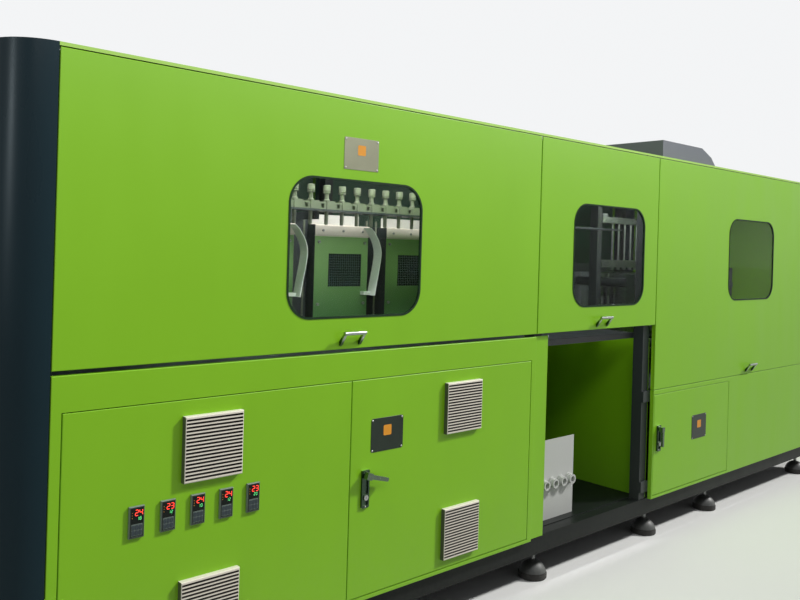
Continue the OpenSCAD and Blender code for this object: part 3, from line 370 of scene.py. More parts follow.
# %% [markdown]
# ## Rubber, plastic and glass
# Small fittings are rubber and moulded plastic. A group for each kind could be built, but the
# surface group does for all of them with other values. At their size a fine grain counts more
# than a drift of tint, so the grain scale is higher, and dust is left off where a hand wipes it
# away. The smoked glass is too dark to look through, so a glossy dark coat stands for it.

# %% Finishes of the small fittings
grille_beige = painted("grille_beige", srgb(228, 222, 209), rough=0.55, drift=0.05, drift_scale=9,
                       grain=900.0, grain_bump=0.12, dust=0.15, dust_height=1.0)
rubber = painted("rubber", srgb(24, 25, 26), rough=0.7, drift=0.2, drift_scale=14, grain=700.0,
                 grain_bump=0.15)
seal_rubber = painted("seal_rubber", srgb(18, 44, 20), rough=0.6, drift=0.15, drift_scale=10,
                      grain=800.0, grain_bump=0.12, dust=0.0, specular=0.2)
# Painted shade: this near black fills the rims of the strips' holes, which are not cut through.
hole_shade_black = painted("hole_shade_black", srgb(22, 22, 24), rough=0.32, drift=0.1, drift_scale=20,
                        grain=1200.0, grain_bump=0.05, dust=0.0)
bezel_grey = painted("bezel_grey", srgb(122, 134, 128), rough=0.4, drift=0.08, drift_scale=20,
                     grain=1200.0, grain_bump=0.06, dust=0.1, dust_height=0.9)
face_black = painted("face_black", srgb(9, 18, 14), rough=0.2, drift=0.3, drift_scale=30, grain=900.0,
                     grain_bump=0.01, dust=0.0, specular=0.2)
key_grey = painted("key_grey", srgb(34, 47, 53), rough=0.5, drift=0.15, drift_scale=60, grain=1500.0,
                   grain_bump=0.08, dust=0.0)
pad_grey = painted("pad_grey", srgb(84, 98, 92), rough=0.5, drift=0.12, drift_scale=50, grain=1500.0,
                   grain_bump=0.06, dust=0.0)
plate_dark = painted("plate_dark", srgb(20, 36, 26), rough=0.3, drift=0.25, drift_scale=12, grain=700.0,
                     grain_bump=0.03, dust=0.05, dust_height=1.4, coat=0.1, specular=0.3)
amber_field = painted("amber_field", srgb(226, 150, 34), rough=0.45, drift=0.12, drift_scale=40,
                      grain=900.0, grain_bump=0.03, dust=0.0)
smoked_glass = painted("smoked_glass", srgb(26, 38, 44), rough=0.12, drift=0.5, drift_scale=14,
                       grain=500.0, grain_bump=0.02, dust=0.0, coat=0.8, coat_rough=0.04)
mat_dark = painted("mat_dark", srgb(17, 16, 16), rough=0.9, drift=0.4, drift_scale=60, grain=1600.0,
                   grain_bump=0.5, dust=0.04, dust_height=1.1)
print("materials so far:", len(bpy.data.materials))

# %% [markdown]
# ## The oven's inside
# The modules, the spindles and the clamp blocks are seen through the window. Bare metal would
# suit some of them, but in the dark cabin it would mostly mirror the dark. A paint with a part of
# metal in it keeps the grey that shows there, and the curved air ducts are the palest piece.

# %% Finishes behind the window
oven_green = painted("oven_green", srgb(126, 166, 100), rough=0.45, drift=0.12, drift_scale=5, dust=0.0)
lamp_ceramic = painted("lamp_ceramic", srgb(222, 213, 202), rough=0.4, drift=0.06, drift_scale=6,
                       dust=0.0)
guard_wire = painted("guard_wire", srgb(96, 110, 112), rough=0.4, drift=0.2, drift_scale=40, grain=900.0,
                     grain_bump=0.05, dust=0.0, metallic=0.4)
clamp_block = painted("clamp_block", srgb(118, 126, 106), rough=0.42, drift=0.12, drift_scale=14,
                      grain=500.0, grain_bump=0.05, dust=0.0, metallic=0.25)
spindle_grey = painted("spindle_grey", srgb(126, 132, 114), rough=0.36, drift=0.14, drift_scale=20,
                       grain=600.0, grain_bump=0.04, dust=0.0, metallic=0.3)
duct_pale = painted("duct_pale", srgb(238, 242, 236), rough=0.34, drift=0.1, drift_scale=16, grain=300.0,
                    grain_bump=0.08, dust=0.0)
print("materials so far:", len(bpy.data.materials))

# %% [markdown]
# ## Bare metals
# Machined steel and the plate on the upper door are brushed along their length, so their scratch
# pattern is stretched along it. Cast levers and zinc parts have no direction. They could have a
# group of their own, but the same one with an even scale gives their mottled look.

# %% Finishes of metal
machined_steel = brushed("machined_steel", srgb(168, 172, 174), rough=0.3, along=(0.2, 1, 1), stain=0.2)
chrome_metal = brushed("chrome_metal", srgb(158, 166, 158), rough=0.2, along=(0.1, 1, 1), scale=700,
                       bump=0.01)
cast_silver = brushed("cast_silver", srgb(104, 120, 104), rough=0.26, scale=420, bump=0.08)
plate_cast = brushed("plate_cast", srgb(66, 82, 70), rough=0.3, scale=420, bump=0.08)
plate_brushed = brushed("plate_brushed", srgb(128, 129, 110), rough=0.5, along=(0.12, 1, 1), scale=420,
                        bump=0.04, stain=0.35)
mould_metal = brushed("mould_metal", srgb(190, 193, 196), rough=0.28, along=(0.2, 1, 1), scale=260)
zinc_metal = brushed("zinc_metal", srgb(170, 172, 170), rough=0.4, scale=150, stain=0.3)
print("materials so far:", len(bpy.data.materials))

# %% [markdown]
# ## A second colour where a mask says so
# Some solids carry two colours: a cream beam on a green sheet, or painted shade on the inner
# side. They could be split into faces with materials of their own. A mask that reads the place or
# the normal is simpler, and it leaves the imported mesh as it is.

# %% Lay one colour over another
def masked(material, mask_maker, color):
    """Lays a second colour over a finish where the mask is 1."""
    tree = material.node_tree
    base_color = tree.nodes["Principled BSDF"].inputs["Base Color"]
    finish = base_color.links[0].from_socket
    tree.links.new(mix_colors(tree, mask_maker(tree), finish, color), base_color)


def soft_step(tree, value, low, high):
    """0 at low and 1 at high, with a soft step between them; low may be the larger number."""
    node = add(tree, "ShaderNodeMapRange", interpolation_type="SMOOTHSTEP")
    tree.links.new(value, node.inputs["Value"])
    node.inputs["From Min"].default_value = low
    node.inputs["From Max"].default_value = high
    return node.outputs["Result"]


print("helpers:", masked.__name__, "and", soft_step.__name__)

# %% Masks by place and by direction
def axis_of(tree, coordinate, axis):
    """One axis of the Object place or of the Normal."""
    split = add(tree, "ShaderNodeSeparateXYZ")
    tree.links.new(add(tree, "ShaderNodeTexCoord").outputs[coordinate], split.inputs[0])
    return split.outputs[axis]


def past(axis, low, high):
    """Mask: steps up between two places along an axis, in metres."""
    def mask(tree):
        return soft_step(tree, axis_of(tree, "Object", axis), low, high)
    return mask


def across(axis, low, high):
    """Mask: 1 where the surface faces along an axis, either way."""
    def mask(tree):
        return soft_step(tree, math_node(tree, "ABSOLUTE", axis_of(tree, "Normal", axis)), low, high)
    return mask


def inner_side(axis, sign):
    """Mask: 1 where a sheet looks into the machine; sign is the normal's sign there."""
    def mask(tree):
        inward = math_node(tree, "MULTIPLY", axis_of(tree, "Normal", axis), sign)
        return soft_step(tree, inward, 0.5, 0.7)
    return mask


print("mask makers:", [f.__name__ for f in (past, across, inner_side)])

# %% [markdown]
# ## Where the second colours lie
# Each oven module's front is painted a deeper green towards its foot: painted shade, since less
# light falls there. Its beam is cream, the reflector sheets above it are pale grey, and its sides
# are painted dark as painted shade. The rear covers and the roof get painted shade on their inner
# faces. The louvres' upper and lower faces carry painted shade, and so do the grille's side walls.
# A handle's arms carry a painted reflection of the green cover behind them and painted shade from
# the bar, and the upper and lower faces of the levers and their plates carry a painted highlight.
# Loose sheets laid over the solids could show all this too, but they would have to follow every
# curve and edge.

# %% Lay the second colours
FOOT_SHADE_GREEN = srgb(64, 112, 64)
CREAM = srgb(226, 216, 204)
PALE_GREY = srgb(184, 181, 176)
SHADED_MODULE_SIDE = srgb(58, 66, 64)
INNER_FACE_SHADE = srgb(44, 78, 60)
SLOT_SHADE = srgb(72, 68, 63)
SHADED_GRILLE_SIDE = srgb(74, 80, 58)
BEZEL_FRONT = srgb(26, 38, 33)
PAINTED_GREEN_REFLECTION = srgb(58, 80, 46)
EDGE_HIGHLIGHT = srgb(196, 214, 176)
GRILLE_ROWS = ((0.296, 0.501), (0.817, 1.022))


def slot_faces(tree):
    """Mask: the upper and lower faces of the louvres, inside the two rows of grilles."""
    height = axis_of(tree, "Object", "Z")
    rows = [math_node(tree, "MULTIPLY", math_node(tree, "GREATER_THAN", height, low),
                      math_node(tree, "LESS_THAN", height, high)) for low, high in GRILLE_ROWS]
    return math_node(tree, "MULTIPLY", math_node(tree, "ADD", *rows), across("Z", 0.5, 0.7)(tree))


# Painted shade: each module front turns deeper green towards its foot.
masked(oven_green, past("Z", 1.55, 1.2), FOOT_SHADE_GREEN)
masked(oven_green, past("Z", 1.6165, 1.6175), CREAM)
masked(oven_green, past("Z", 1.6655, 1.667), PALE_GREY)
# Painted shade on the modules' sides.
masked(oven_green, across("X", 0.6, 0.8), SHADED_MODULE_SIDE)
# Painted shade on the inner faces of the rear covers and the roof.
masked(inner_shaded_green, inner_side("Y", -1), INNER_FACE_SHADE)
masked(roof_green, inner_side("Z", -1), INNER_FACE_SHADE)
# Painted shade on the louvres' upper and lower faces.
masked(grille_beige, slot_faces, SLOT_SHADE)
# Painted shade on the grille's side walls.
masked(grille_beige, across("X", 0.6, 0.8), SHADED_GRILLE_SIDE)
masked(bezel_grey, across("Y", 0.8, 0.9), BEZEL_FRONT)
# Painted reflection of the green cover, and painted shade from the bar, on the handles' arms.
masked(chrome_metal, past("Y", -0.905, -0.893), PAINTED_GREEN_REFLECTION)
# Painted highlight on the upper and lower faces of the levers and their plates.
for cast_metal in (cast_silver, plate_cast):
    masked(cast_metal, across("Z", 0.5, 0.8), EDGE_HIGHLIGHT)
mixes = [n for n in oven_green.node_tree.nodes if n.bl_idname == "ShaderNodeMix"]
print("second colours on the oven modules:", len(mixes))

# %% [markdown]
# ## Lit numbers, clear panes and the control plate
# A lit number glows by itself. A small lamp could light it, but an emission in its own colour is
# even and keeps the bars sharp. A pane is clear plastic: its transmission stays at 1, and only its
# roughness and tint change where it was wiped. The control plate carries rows of devices, some of
# them dark. They are one piece with its sheet, so a pattern of square cells colours them, and it
# acts only in front of the sheet.

# %% Lit numbers
RED_LIGHT = (1.0, 0.05, 0.03, 1)
GREEN_LIGHT = (0.12, 0.85, 0.25, 1)


def lit_digits(name, color, strength):
    """Segments of a lit display: a glowing colour over a plain one."""
    material = painted(name, color, rough=0.3, drift=0.2, drift_scale=200, grain=900.0, dust=0.0)
    shader = material.node_tree.nodes["Principled BSDF"]
    shader.inputs["Emission Color"].default_value = color
    shader.inputs["Emission Strength"].default_value = strength
    return material


red_digits = lit_digits("red_digits", RED_LIGHT, 1.6)
green_digits = lit_digits("green_digits", GREEN_LIGHT, 0.9)
print("lit finishes:", red_digits.name, "and", green_digits.name)

# %% Clear panes
PANE_TINT = (0.86, 0.9, 0.88, 1)
WIPED_TINT = (0.92, 0.95, 0.94, 1)
PANE_IOR = 1.1
WIPE_SCALE = 5.0
WIPE_STRETCH = (1, 1, 2.5)
CLEAN_ROUGH, WIPED_ROUGH = 0.02, 0.06


def clear_pane():
    """Clear plastic sheet: mostly see-through, with a faint smoke tint and soft wipe marks."""
    material, shader = new_material("clear_pane")
    tree = material.node_tree
    place = add(tree, "ShaderNodeTexCoord").outputs["Object"]
    wipe = noise(tree, place, WIPE_SCALE, detail=5, stretch=WIPE_STRETCH)
    rough = math_node(tree, "ADD", math_node(tree, "MULTIPLY", wipe, WIPED_ROUGH), CLEAN_ROUGH)
    tree.links.new(rough, shader.inputs["Roughness"])
    ramp = add(tree, "ShaderNodeMix", data_type="RGBA")
    tree.links.new(wipe, ramp.inputs["Factor"])
    ramp.inputs["A"].default_value = PANE_TINT
    ramp.inputs["B"].default_value = WIPED_TINT
    tree.links.new(ramp.outputs["Result"], shader.inputs["Base Color"])
    shader.inputs["Transmission Weight"].default_value = 1.0
    shader.inputs["IOR"].default_value = PANE_IOR
    return material


pane_clear = clear_pane()
print("pane:", pane_clear.name, "with an index of refraction of", PANE_IOR)

# %% The control plate
DEVICE_CELLS = 6.0
PLATE_FRONT = (-0.362, -0.366)


def device_mask(tree):
    """Mask: some cells of a square grid, only in front of the sheet that carries the devices."""
    cell = add(tree, "ShaderNodeTexVoronoi", distance="CHEBYCHEV")
    cell.inputs["Scale"].default_value = DEVICE_CELLS
    tree.links.new(add(tree, "ShaderNodeTexCoord").outputs["Object"], cell.inputs["Vector"])
    channels = add(tree, "ShaderNodeSeparateColor")
    tree.links.new(cell.outputs["Color"], channels.inputs[0])
    return math_node(tree, "MULTIPLY", past("Y", *PLATE_FRONT)(tree),
                     soft_step(tree, channels.outputs["Red"], 0.35, 0.45))


control_finish = painted("control_finish", srgb(196, 198, 194), rough=0.45, drift=0.06, dust=0.05)
masked(control_finish, device_mask, srgb(38, 40, 42))
print("materials:", len(bpy.data.materials))

# %% [markdown]
# ## Every solid gets its finish
# Finishes could be set one by one in the material tab, but a table from finish to solids shows at
# a glance what shares a coat. The loop clears each solid's slots and puts its finish there. The
# list that is printed should be empty.

# %% Give each node its finish
FINISHES = {
    cover_green: ["end_panels", "lower_front_oven", "side_panels", "lower_front_clamp",
                  "upper_door_oven", "upper_door_transfer", "upper_door_clamp", "lower_door_left",
                  "lower_door_right", "lower_door_clamp"],
    inner_shaded_green: ["rear_panels"],
    roof_green: ["roof_panels"],
    post_blue: ["front_corner_posts", "rear_corner_posts"],
    base_black: ["base_frame"],
    gap_shaded_frame: ["inner_frame", "bed_plates"],
    frame_grey: ["spindle_rail", "clamp_frame", "stretch_portal"],
    cowl_grey: ["roof_cowl"],
    rubber: ["foot_pads"],
    seal_rubber: ["window_seal_oven", "window_seal_transfer", "window_seal_clamp"],
    foot_iron: ["foot_studs"],
    pane_clear: ["window_pane_oven", "window_pane_transfer", "window_pane_clamp"],
    chrome_metal: ["pull_handle_oven", "pull_handle_transfer", "pull_handle_clamp"],
    grille_beige: ["grilles_left", "grilles_right"],
    bezel_grey: ["temperature_controllers"],
    cast_silver: ["lever_oven", "lever_clamp"],
    plate_cast: ["lever_plate_oven", "lever_plate_clamp"],
    zinc_metal: ["lock_core_oven", "lock_core_clamp", "upper_hinge_pins"],
    clamp_block: ["spindle_carriage"],
    machined_steel: ["clamp_cylinders", "front_platen", "rear_platen",
                     "stretch_beam", "nozzle_beam", "base_mould", "blower_rotor", "air_valves"],
    spindle_grey: ["spindles"],
    oven_green: ["oven_housings"],
    lamp_ceramic: ["oven_lamps"],
    duct_pale: ["air_ducts"],
    mould_metal: ["front_mould", "rear_mould"],
    panel_grey: ["service_panel"],
    control_finish: ["control_plate"],
    tank_blue: ["air_tank"],
}
for material, names in FINISHES.items():
    for name in names:
        slots = nodes[name].data.materials
        slots.clear()
        slots.append(material)
dressed = {name for names in FINISHES.values() for name in names}
print("nodes without a finish:", sorted(set(nodes) - dressed))

# %% [markdown]
# ## Makers for small fittings
# Screws, rivets, keys and plates are small, and many sit on doors that move. They could be placed
# by hand, but a drawing gives exact lengths. So each is typed in millimetres from the near corner
# of the first cover and turned into the shared frame in one place. There y is 0 at the covers'
# front, and a negative y stands out from it. One mesh of closed shapes holds all fittings of a
# kind that move together.

# %% Drawing lengths to the shared frame
LINE_MIDDLE = 2760
FRONT_SETBACK = 881


def mm(x, y, z):
    return Vector(((x - LINE_MIDDLE) / 1000, (y - FRONT_SETBACK) / 1000, z / 1000))


print("mm(0, 0, 0) lies at", [round(v, 4) for v in mm(0, 0, 0)])

# %% From a bmesh to a piece that rides
SMOOTH_ANGLE = math.radians(35)
JOIN_WITHIN = 1e-6


def piece(name, bm, material, body):
    """Turns a bmesh into a piece that rides on a body and takes its finish from a slot."""
    bmesh.ops.remove_doubles(bm, verts=bm.verts, dist=JOIN_WITHIN)
    bmesh.ops.recalc_face_normals(bm, faces=bm.faces)
    mesh = bpy.data.meshes.new(name)
    bm.to_mesh(mesh)
    bm.free()
    for face in mesh.polygons:
        face.use_smooth = True
    mesh.materials.append(material)
    obj = bpy.data.objects.new(name, mesh)
    scene.collection.objects.link(obj)
    mesh.set_sharp_from_angle(angle=SMOOTH_ANGLE)
    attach(obj, body)
    print(name, "has", len(mesh.polygons), "faces and rides on", body)


print("edges sharper than", round(math.degrees(SMOOTH_ANGLE)), "degrees stay sharp")

# %% [markdown]
# ## Sheets and turned parts
# Nearly every fitting is one of two kinds. A sheet is an outline pushed back, with a small
# chamfer at its front that catches the light. A turned part is a profile swept round an axis, as
# on a lathe. Modifiers could do both, but direct faces give clean, light meshes.

# %% Sheets with round corners
def rounded(x0, x1, z0, z1, r, steps=4):
    """Outline in X and Z with round corners."""
    centres = ((x1 - r, z1 - r, 0), (x0 + r, z1 - r, 90), (x0 + r, z0 + r, 180), (x1 - r, z0 + r, 270))
    points = []
    for cx, cz, turn in centres:
        for k in range(steps + 1):
            a = math.radians(turn + 90 * k / steps)
            points.append((cx + r * math.cos(a), cz + r * math.sin(a)))
    return points


def add_sheet(bm, outline, y_front, y_back, edge=0.0):
    """Adds a plate from its outline; the front edge gets a chamfer as wide as edge."""
    xs, zs = [p[0] for p in outline], [p[1] for p in outline]
    mid_x, mid_z = sum(xs) / len(xs), sum(zs) / len(zs)
    span_x, span_z = max(xs) - min(xs), max(zs) - min(zs)
    rows = [(y_back, 0.0), (y_front + edge, 0.0)]
    if edge:
        rows.append((y_front, edge))
    loops = []
    for y, inset in rows:
        fx, fz = 1 - 2 * inset / span_x, 1 - 2 * inset / span_z
        loops.append([bm.verts.new(mm(mid_x + (x - mid_x) * fx, y, mid_z + (z - mid_z) * fz))
                      for x, z in outline])
    count = len(outline)
    for a, b in zip(loops, loops[1:]):
        for k in range(count):
            bm.faces.new((a[k], a[(k + 1) % count], b[(k + 1) % count], b[k]))
    bm.faces.new(loops[0])
    bm.faces.new(loops[-1])


def add_block(bm, x0, x1, y0, y1, z0, z1, edge=0.4):
    add_sheet(bm, [(x0, z0), (x1, z0), (x1, z1), (x0, z1)], y0, y1, edge)


print("points in a round outline:", len(rounded(0, 10, 0, 10, 2)))

# %% Turned parts
def add_turned(bm, x, y, z, profile, axis="Y", count=20):
    """Adds a turned part: profile rows are radius and distance along the axis from the start point."""
    rings = []
    for radius, distance in profile:
        ring = []
        for k in range(count if radius > 0 else 1):
            a = 2 * math.pi * k / count
            u, v = radius * math.cos(a), radius * math.sin(a)
            place = (x + u, y + distance, z + v) if axis == "Y" else (x + u, y + v, z + distance)
            ring.append(bm.verts.new(mm(*place)))
        rings.append(ring)
    for a, b in zip(rings, rings[1:]):
        for k in range(count):
            quad = [a[k % len(a)], a[(k + 1) % len(a)], b[(k + 1) % len(b)], b[k % len(b)]]
            bm.faces.new(list(dict.fromkeys(quad)))
    for ring in (rings[0], rings[-1]):
        if len(ring) > 2:
            bm.faces.new(ring)


def rivet_profile(radius, rise):
    """Domed head that stands rise in front of the plate; a negative distance is nearer the viewer."""
    return [(0, -rise), (radius * 0.45, -rise * 0.93), (radius * 0.8, -rise * 0.62),
            (radius, -rise * 0.12), (radius, 0.2)]


def socket_head(radius, rise):
    """Cap screw with a hollow in its head."""
    return [(0, -rise * 0.3), (radius * 0.5, -rise * 0.3), (radius * 0.5, -rise), (radius * 0.85, -rise),
            (radius, -rise * 0.8), (radius, 0.3)]


print("profile of a rivet head 8 mm wide:", rivet_profile(4, 2))

# %% [markdown]
# ## Riveted plates on the doors
# A brushed metal plate sits on the upper door and two dark enamelled plates on the lower doors.
# Each field is bare but for one plain amber square. Four domed rivets hold each plate, and the
# thin chamfer round it catches the light. Rivets and edges could be bumps in a material, but as
# real shapes they keep their outline and their highlight from every side.

# %% Make the three plates
PLATE_T = 1.6
PLATE_CHAMFER = 0.5
RIVET_INSET, RIVET_RADIUS, RIVET_RISE = 7, 3.8, 2.2
FIELD_CORNER = 5
FIELD_RISE = 0.3


def door_plate(name, body, material, span_x, span_z, corner, field, half):
    """A plate over two spans, with a square field of half width half round the point field."""
    bm = bmesh.new()
    add_sheet(bm, rounded(*span_x, *span_z, corner), -PLATE_T, 0, PLATE_CHAMFER)
    piece(name, bm, material, body)
    bm = bmesh.new()
    for x in (span_x[0] + RIVET_INSET, span_x[1] - RIVET_INSET):
        for z in (span_z[0] + RIVET_INSET, span_z[1] - RIVET_INSET):
            add_turned(bm, x, -PLATE_T, z, rivet_profile(RIVET_RADIUS, RIVET_RISE), count=16)
    piece(name + "_rivets", bm, zinc_metal, body)
    x, z = field
    bm = bmesh.new()
    add_sheet(bm, rounded(x - half, x + half, z - half, z + half, FIELD_CORNER), -PLATE_T - FIELD_RISE,
              -PLATE_T + 0.1, 0.1)
    piece(name + "_field", bm, amber_field, body)


door_plate("upper_plate", "oven_lid", plate_brushed,
           span_x=(1019, 1184), span_z=(1862, 1981), corner=3, field=(1101, 1936), half=19)
door_plate("right_door_plate", "right_door", plate_dark,
           span_x=(1186, 1350), span_z=(793, 922), corner=9, field=(1268, 872), half=20)
door_plate("clamp_door_plate", "clamp_door", plate_dark,
           span_x=(3650, 3820), span_z=(506, 647), corner=9, field=(3735, 590), half=22)

# %% [markdown]
# ## Temperature controllers
# Each controller is a 48 by 96 mm panel instrument. Its glossy face fills the recess of the
# bezel, with a red reading over a smaller green set value, status lamps, and a pad of rubber
# keys below. A text object would need a font, so the numbers are built from bar segments, as on
# a real seven-segment display.

# %% Seven-segment digits
SEGMENTS = {"0": "abcdef", "1": "bc", "2": "abged", "3": "abgcd", "4": "fgbc", "8": "abcdefg"}
BAR_GAP = 0.18


def add_digit(bm, digit, x, z, w, h, stroke, y):
    """Adds one digit with its lower left corner at x, z; stroke is the width of a bar."""
    half = h / 2
    gap = stroke * BAR_GAP
    bars = {"a": (x, x + w, z + h, "level"), "g": (x, x + w, z + half, "level"),
            "d": (x, x + w, z, "level"), "f": (z + half, z + h, x, "upright"),
            "b": (z + half, z + h, x + w, "upright"), "e": (z, z + half, x, "upright"),
            "c": (z, z + half, x + w, "upright")}
    for segment in SEGMENTS[digit]:
        start, end, line, kind = bars[segment]
        a, b, s = start + gap, end - gap, stroke / 2
        ring = [(a, 0), (a + s, s), (b - s, s), (b, 0), (b - s, -s), (a + s, -s)]
        if kind == "level":
            outline = [(u, line + v) for u, v in ring]
        else:
            outline = [(line + v, u) for u, v in ring]
        add_sheet(bm, outline, y - 0.25, y + 0.05)


print("digits that can be lit:", " ".join(SEGMENTS))

# %% What one instrument shows, from its lower left corner
CONTROLLER_X, CONTROLLER_Z, CONTROLLER_PITCH = 236, 675, 102
READINGS = [("24", "18"), ("23", "12"), ("24", "10"), ("24", "12"), ("23", "20")]
FACE_Y = -8.8
GLASS_Y = FACE_Y - 0.6
FACE_SPANS = (4.3, 43.7, 5.3, 90.7)
PAD_SPANS = (6, 42, 7.5, 43)
READING_X, READING_Z, READING_PITCH = 18.5, 68.5, 13.6
TARGET_X, TARGET_Z, TARGET_PITCH = 25, 54.5, 7.8
STATUS_X, STATUS_Z, STATUS_PITCH = 9, 62, 8
KEY_X, KEY_Z, KEY_PITCH_X, KEY_PITCH_Z = 7.6, 9.5, 11.3, 16
KEY_SPANS = (0, 10.0, 0, 14.6)


def outline_at(x0, z0, spans, radius):
    """Outline with round corners over spans that are measured from the point x0, z0."""
    left, far, low, high = spans
    return rounded(x0 + left, x0 + far, z0 + low, z0 + high, radius)


print("instruments:", len(READINGS), "every", CONTROLLER_PITCH, "mm")

# %% Build the five instruments' faces
faces, reds, greens, pads, keys, status = (bmesh.new() for _ in range(6))
z0 = CONTROLLER_Z
for i, (reading, target) in enumerate(READINGS):
    x0 = CONTROLLER_X + i * CONTROLLER_PITCH
    add_sheet(faces, outline_at(x0, z0, FACE_SPANS, 1.5), GLASS_Y, FACE_Y + 0.1, 0.2)
    for k, digit in enumerate(reading):
        add_digit(reds, digit, x0 + READING_X + k * READING_PITCH, z0 + READING_Z, w=9.2, h=17.0,
                  stroke=2.2, y=GLASS_Y)
    for k, digit in enumerate(target):
        add_digit(greens, digit, x0 + TARGET_X + k * TARGET_PITCH, z0 + TARGET_Z, w=4.6, h=9.0,
                  stroke=1.1, y=GLASS_Y)
    add_sheet(pads, outline_at(x0, z0, PAD_SPANS, 2), FACE_Y - 1.0, FACE_Y - 0.5, 0.2)
    for column in range(3):
        for row in range(2):
            kx, kz = x0 + KEY_X + column * KEY_PITCH_X, z0 + KEY_Z + row * KEY_PITCH_Z
            add_sheet(keys, outline_at(kx, kz, KEY_SPANS, 3), FACE_Y - 1.9, FACE_Y - 0.9, 0.4)
    for k in range(3):
        add_turned(status, x0 + STATUS_X, GLASS_Y, z0 + STATUS_Z + k * STATUS_PITCH,
                   rivet_profile(1.2, 0.4), count=10)
CONTROLLER_PIECES = [
    ("controller_faces", faces, face_black),
    ("controller_readings", reds, red_digits),
    ("controller_targets", greens, green_digits),
    ("controller_pads", pads, pad_grey),
    ("controller_keys", keys, key_grey),
    ("controller_lamps", status, amber_field),
]
for name, bm, material in CONTROLLER_PIECES:
    piece(name, bm, material, "left_door")

# %% [markdown]
# ## Filter mats behind the louvres
# Between the louvres of a filter grille one sees the dark filter mat. The openings could be
# painted dark, but a strip of mat at the back of each one keeps its real depth from any side,
# and the louvres themselves stay light.

# %% Mats of the four grilles
GRILLE_W, SLOTS, SLOT_PITCH, SLOT_H = 211, 17, 11.7, 6.8
SLOT_MARGIN = (GRILLE_W - (SLOTS - 1) * SLOT_PITCH - SLOT_H) / 2
GRILLE_FEET = (293, 814)
MAT_SIDE, MAT_FRONT, MAT_BACK = 4.1, -4.2, -3.05
MAT_LOW, MAT_HIGH = 2.1, 1.9
for name, body, x0 in (("left_mats", "left_door", 406), ("right_mats", "right_door", 1580)):
    bm = bmesh.new()
    for z0 in GRILLE_FEET:
        for k in range(SLOTS):
            low = z0 + SLOT_MARGIN + k * SLOT_PITCH
            add_block(bm, x0 + MAT_SIDE, x0 + GRILLE_W - MAT_SIDE, MAT_FRONT, MAT_BACK,
                      low + MAT_LOW, low + SLOT_H + MAT_HIGH, 0.2)
    piece(name, bm, mat_dark, body)

# %% [markdown]
# ## Inside the oven window
# Behind the window the light falls on the oven modules. Each square opening is closed by smoked
# quartz glass behind a guard of thin wires. The guard could be a pattern in a material, but real
# wires cost few faces and still look right when the lid is open. Cap screws hold the beam and
# the front sheet, and a pair of perforated strips runs down each column beside a module.

# %% Glass and wire guards of the four modules
MODULES = 4
MODULE_X, MODULE_PITCH, MODULE_Y = 353, 381, 300
OPENING_X = (75, 247)
OPENING_Z = (1411, 1547)
GLASS_LAP, GLASS_FRONT, GLASS_BACK = 6, MODULE_Y + 12, MODULE_Y + 16
WIRE, WIRE_LAP, WIRE_FRONT = 1.3, 3, MODULE_Y + 9.2
WIRE_T = 1.2
UPRIGHT_WIRES, LEVEL_WIRES = 15, 12
glass, wires = bmesh.new(), bmesh.new()
low, high = OPENING_Z
for i in range(MODULES):
    x0 = MODULE_X + i * MODULE_PITCH
    left, far = x0 + OPENING_X[0], x0 + OPENING_X[1]
    add_block(glass, left - GLASS_LAP, far + GLASS_LAP, GLASS_FRONT, GLASS_BACK,
              low - GLASS_LAP, high + GLASS_LAP, 0.5)
    for k in range(1, UPRIGHT_WIRES + 1):
        x = left + (far - left) * k / (UPRIGHT_WIRES + 1)
        add_block(wires, x - WIRE / 2, x + WIRE / 2, WIRE_FRONT, WIRE_FRONT + WIRE_T,
                  low - WIRE_LAP, high + WIRE_LAP, 0.3)
    for k in range(1, LEVEL_WIRES + 1):
        z = low + (high - low) * k / (LEVEL_WIRES + 1)
        add_block(wires, left - WIRE_LAP, far + WIRE_LAP, WIRE_FRONT + WIRE_T, WIRE_FRONT + 2 * WIRE_T,
                  z - WIRE / 2, z + WIRE / 2, 0.3)
piece("module_glass", glass, smoked_glass, "machine")
piece("module_guards", wires, guard_wire, "machine")

# %% Cap screws and perforated strips
SHEET_SCREWS = ((24, 1594), (262, 1594), (24, 1340), (262, 1340))
BEAM_SCREWS_X, BEAM_SCREWS_Z = (40, 143, 246), 1641
COLUMN_FROM_MODULE = -47.5
STRIP_FROM_COLUMN = (-30, 22)
STRIP_W, STRIP_T, STRIP_Y, STRIP_Z = 9, 3, MODULE_Y + 47, (1160, 1690)
HOLES, FIRST_HOLE, HOLE_PITCH = 33, 12, 16
HOLE_RIM = [(0, 0.1), (2.6, 0.1), (3.1, -0.25), (3.4, 0.2)]
screws, strips, holes = (bmesh.new() for _ in range(3))
for i in range(MODULES):
    x0 = MODULE_X + i * MODULE_PITCH
    for x, z in SHEET_SCREWS:
        add_turned(screws, x0 + x, MODULE_Y + 6, z, socket_head(6.5, 6))
    for x in BEAM_SCREWS_X:
        add_turned(screws, x0 + x, MODULE_Y, BEAM_SCREWS_Z, socket_head(5, 4))
    for side in STRIP_FROM_COLUMN:
        x = x0 + COLUMN_FROM_MODULE + side
        add_block(strips, x, x + STRIP_W, STRIP_Y, STRIP_Y + STRIP_T, *STRIP_Z, 0.6)
        for k in range(HOLES):
            z = STRIP_Z[0] + FIRST_HOLE + k * HOLE_PITCH
            add_turned(holes, x + STRIP_W / 2, STRIP_Y, z, HOLE_RIM, count=8)
piece("module_screws", screws, zinc_metal, "machine")
piece("column_strips", strips, spindle_grey, "machine")
piece("column_strip_holes", holes, hole_shade_black, "machine")

# %% [markdown]
# ## Threads and plate screws
# The levelling feet carry a fine thread that shows between the dome and the base. The Screw
# modifier could wind a true helix, but stacked rings look the same at this size and stay light
# and closed. One domed screw closes the foot of each lever plate.

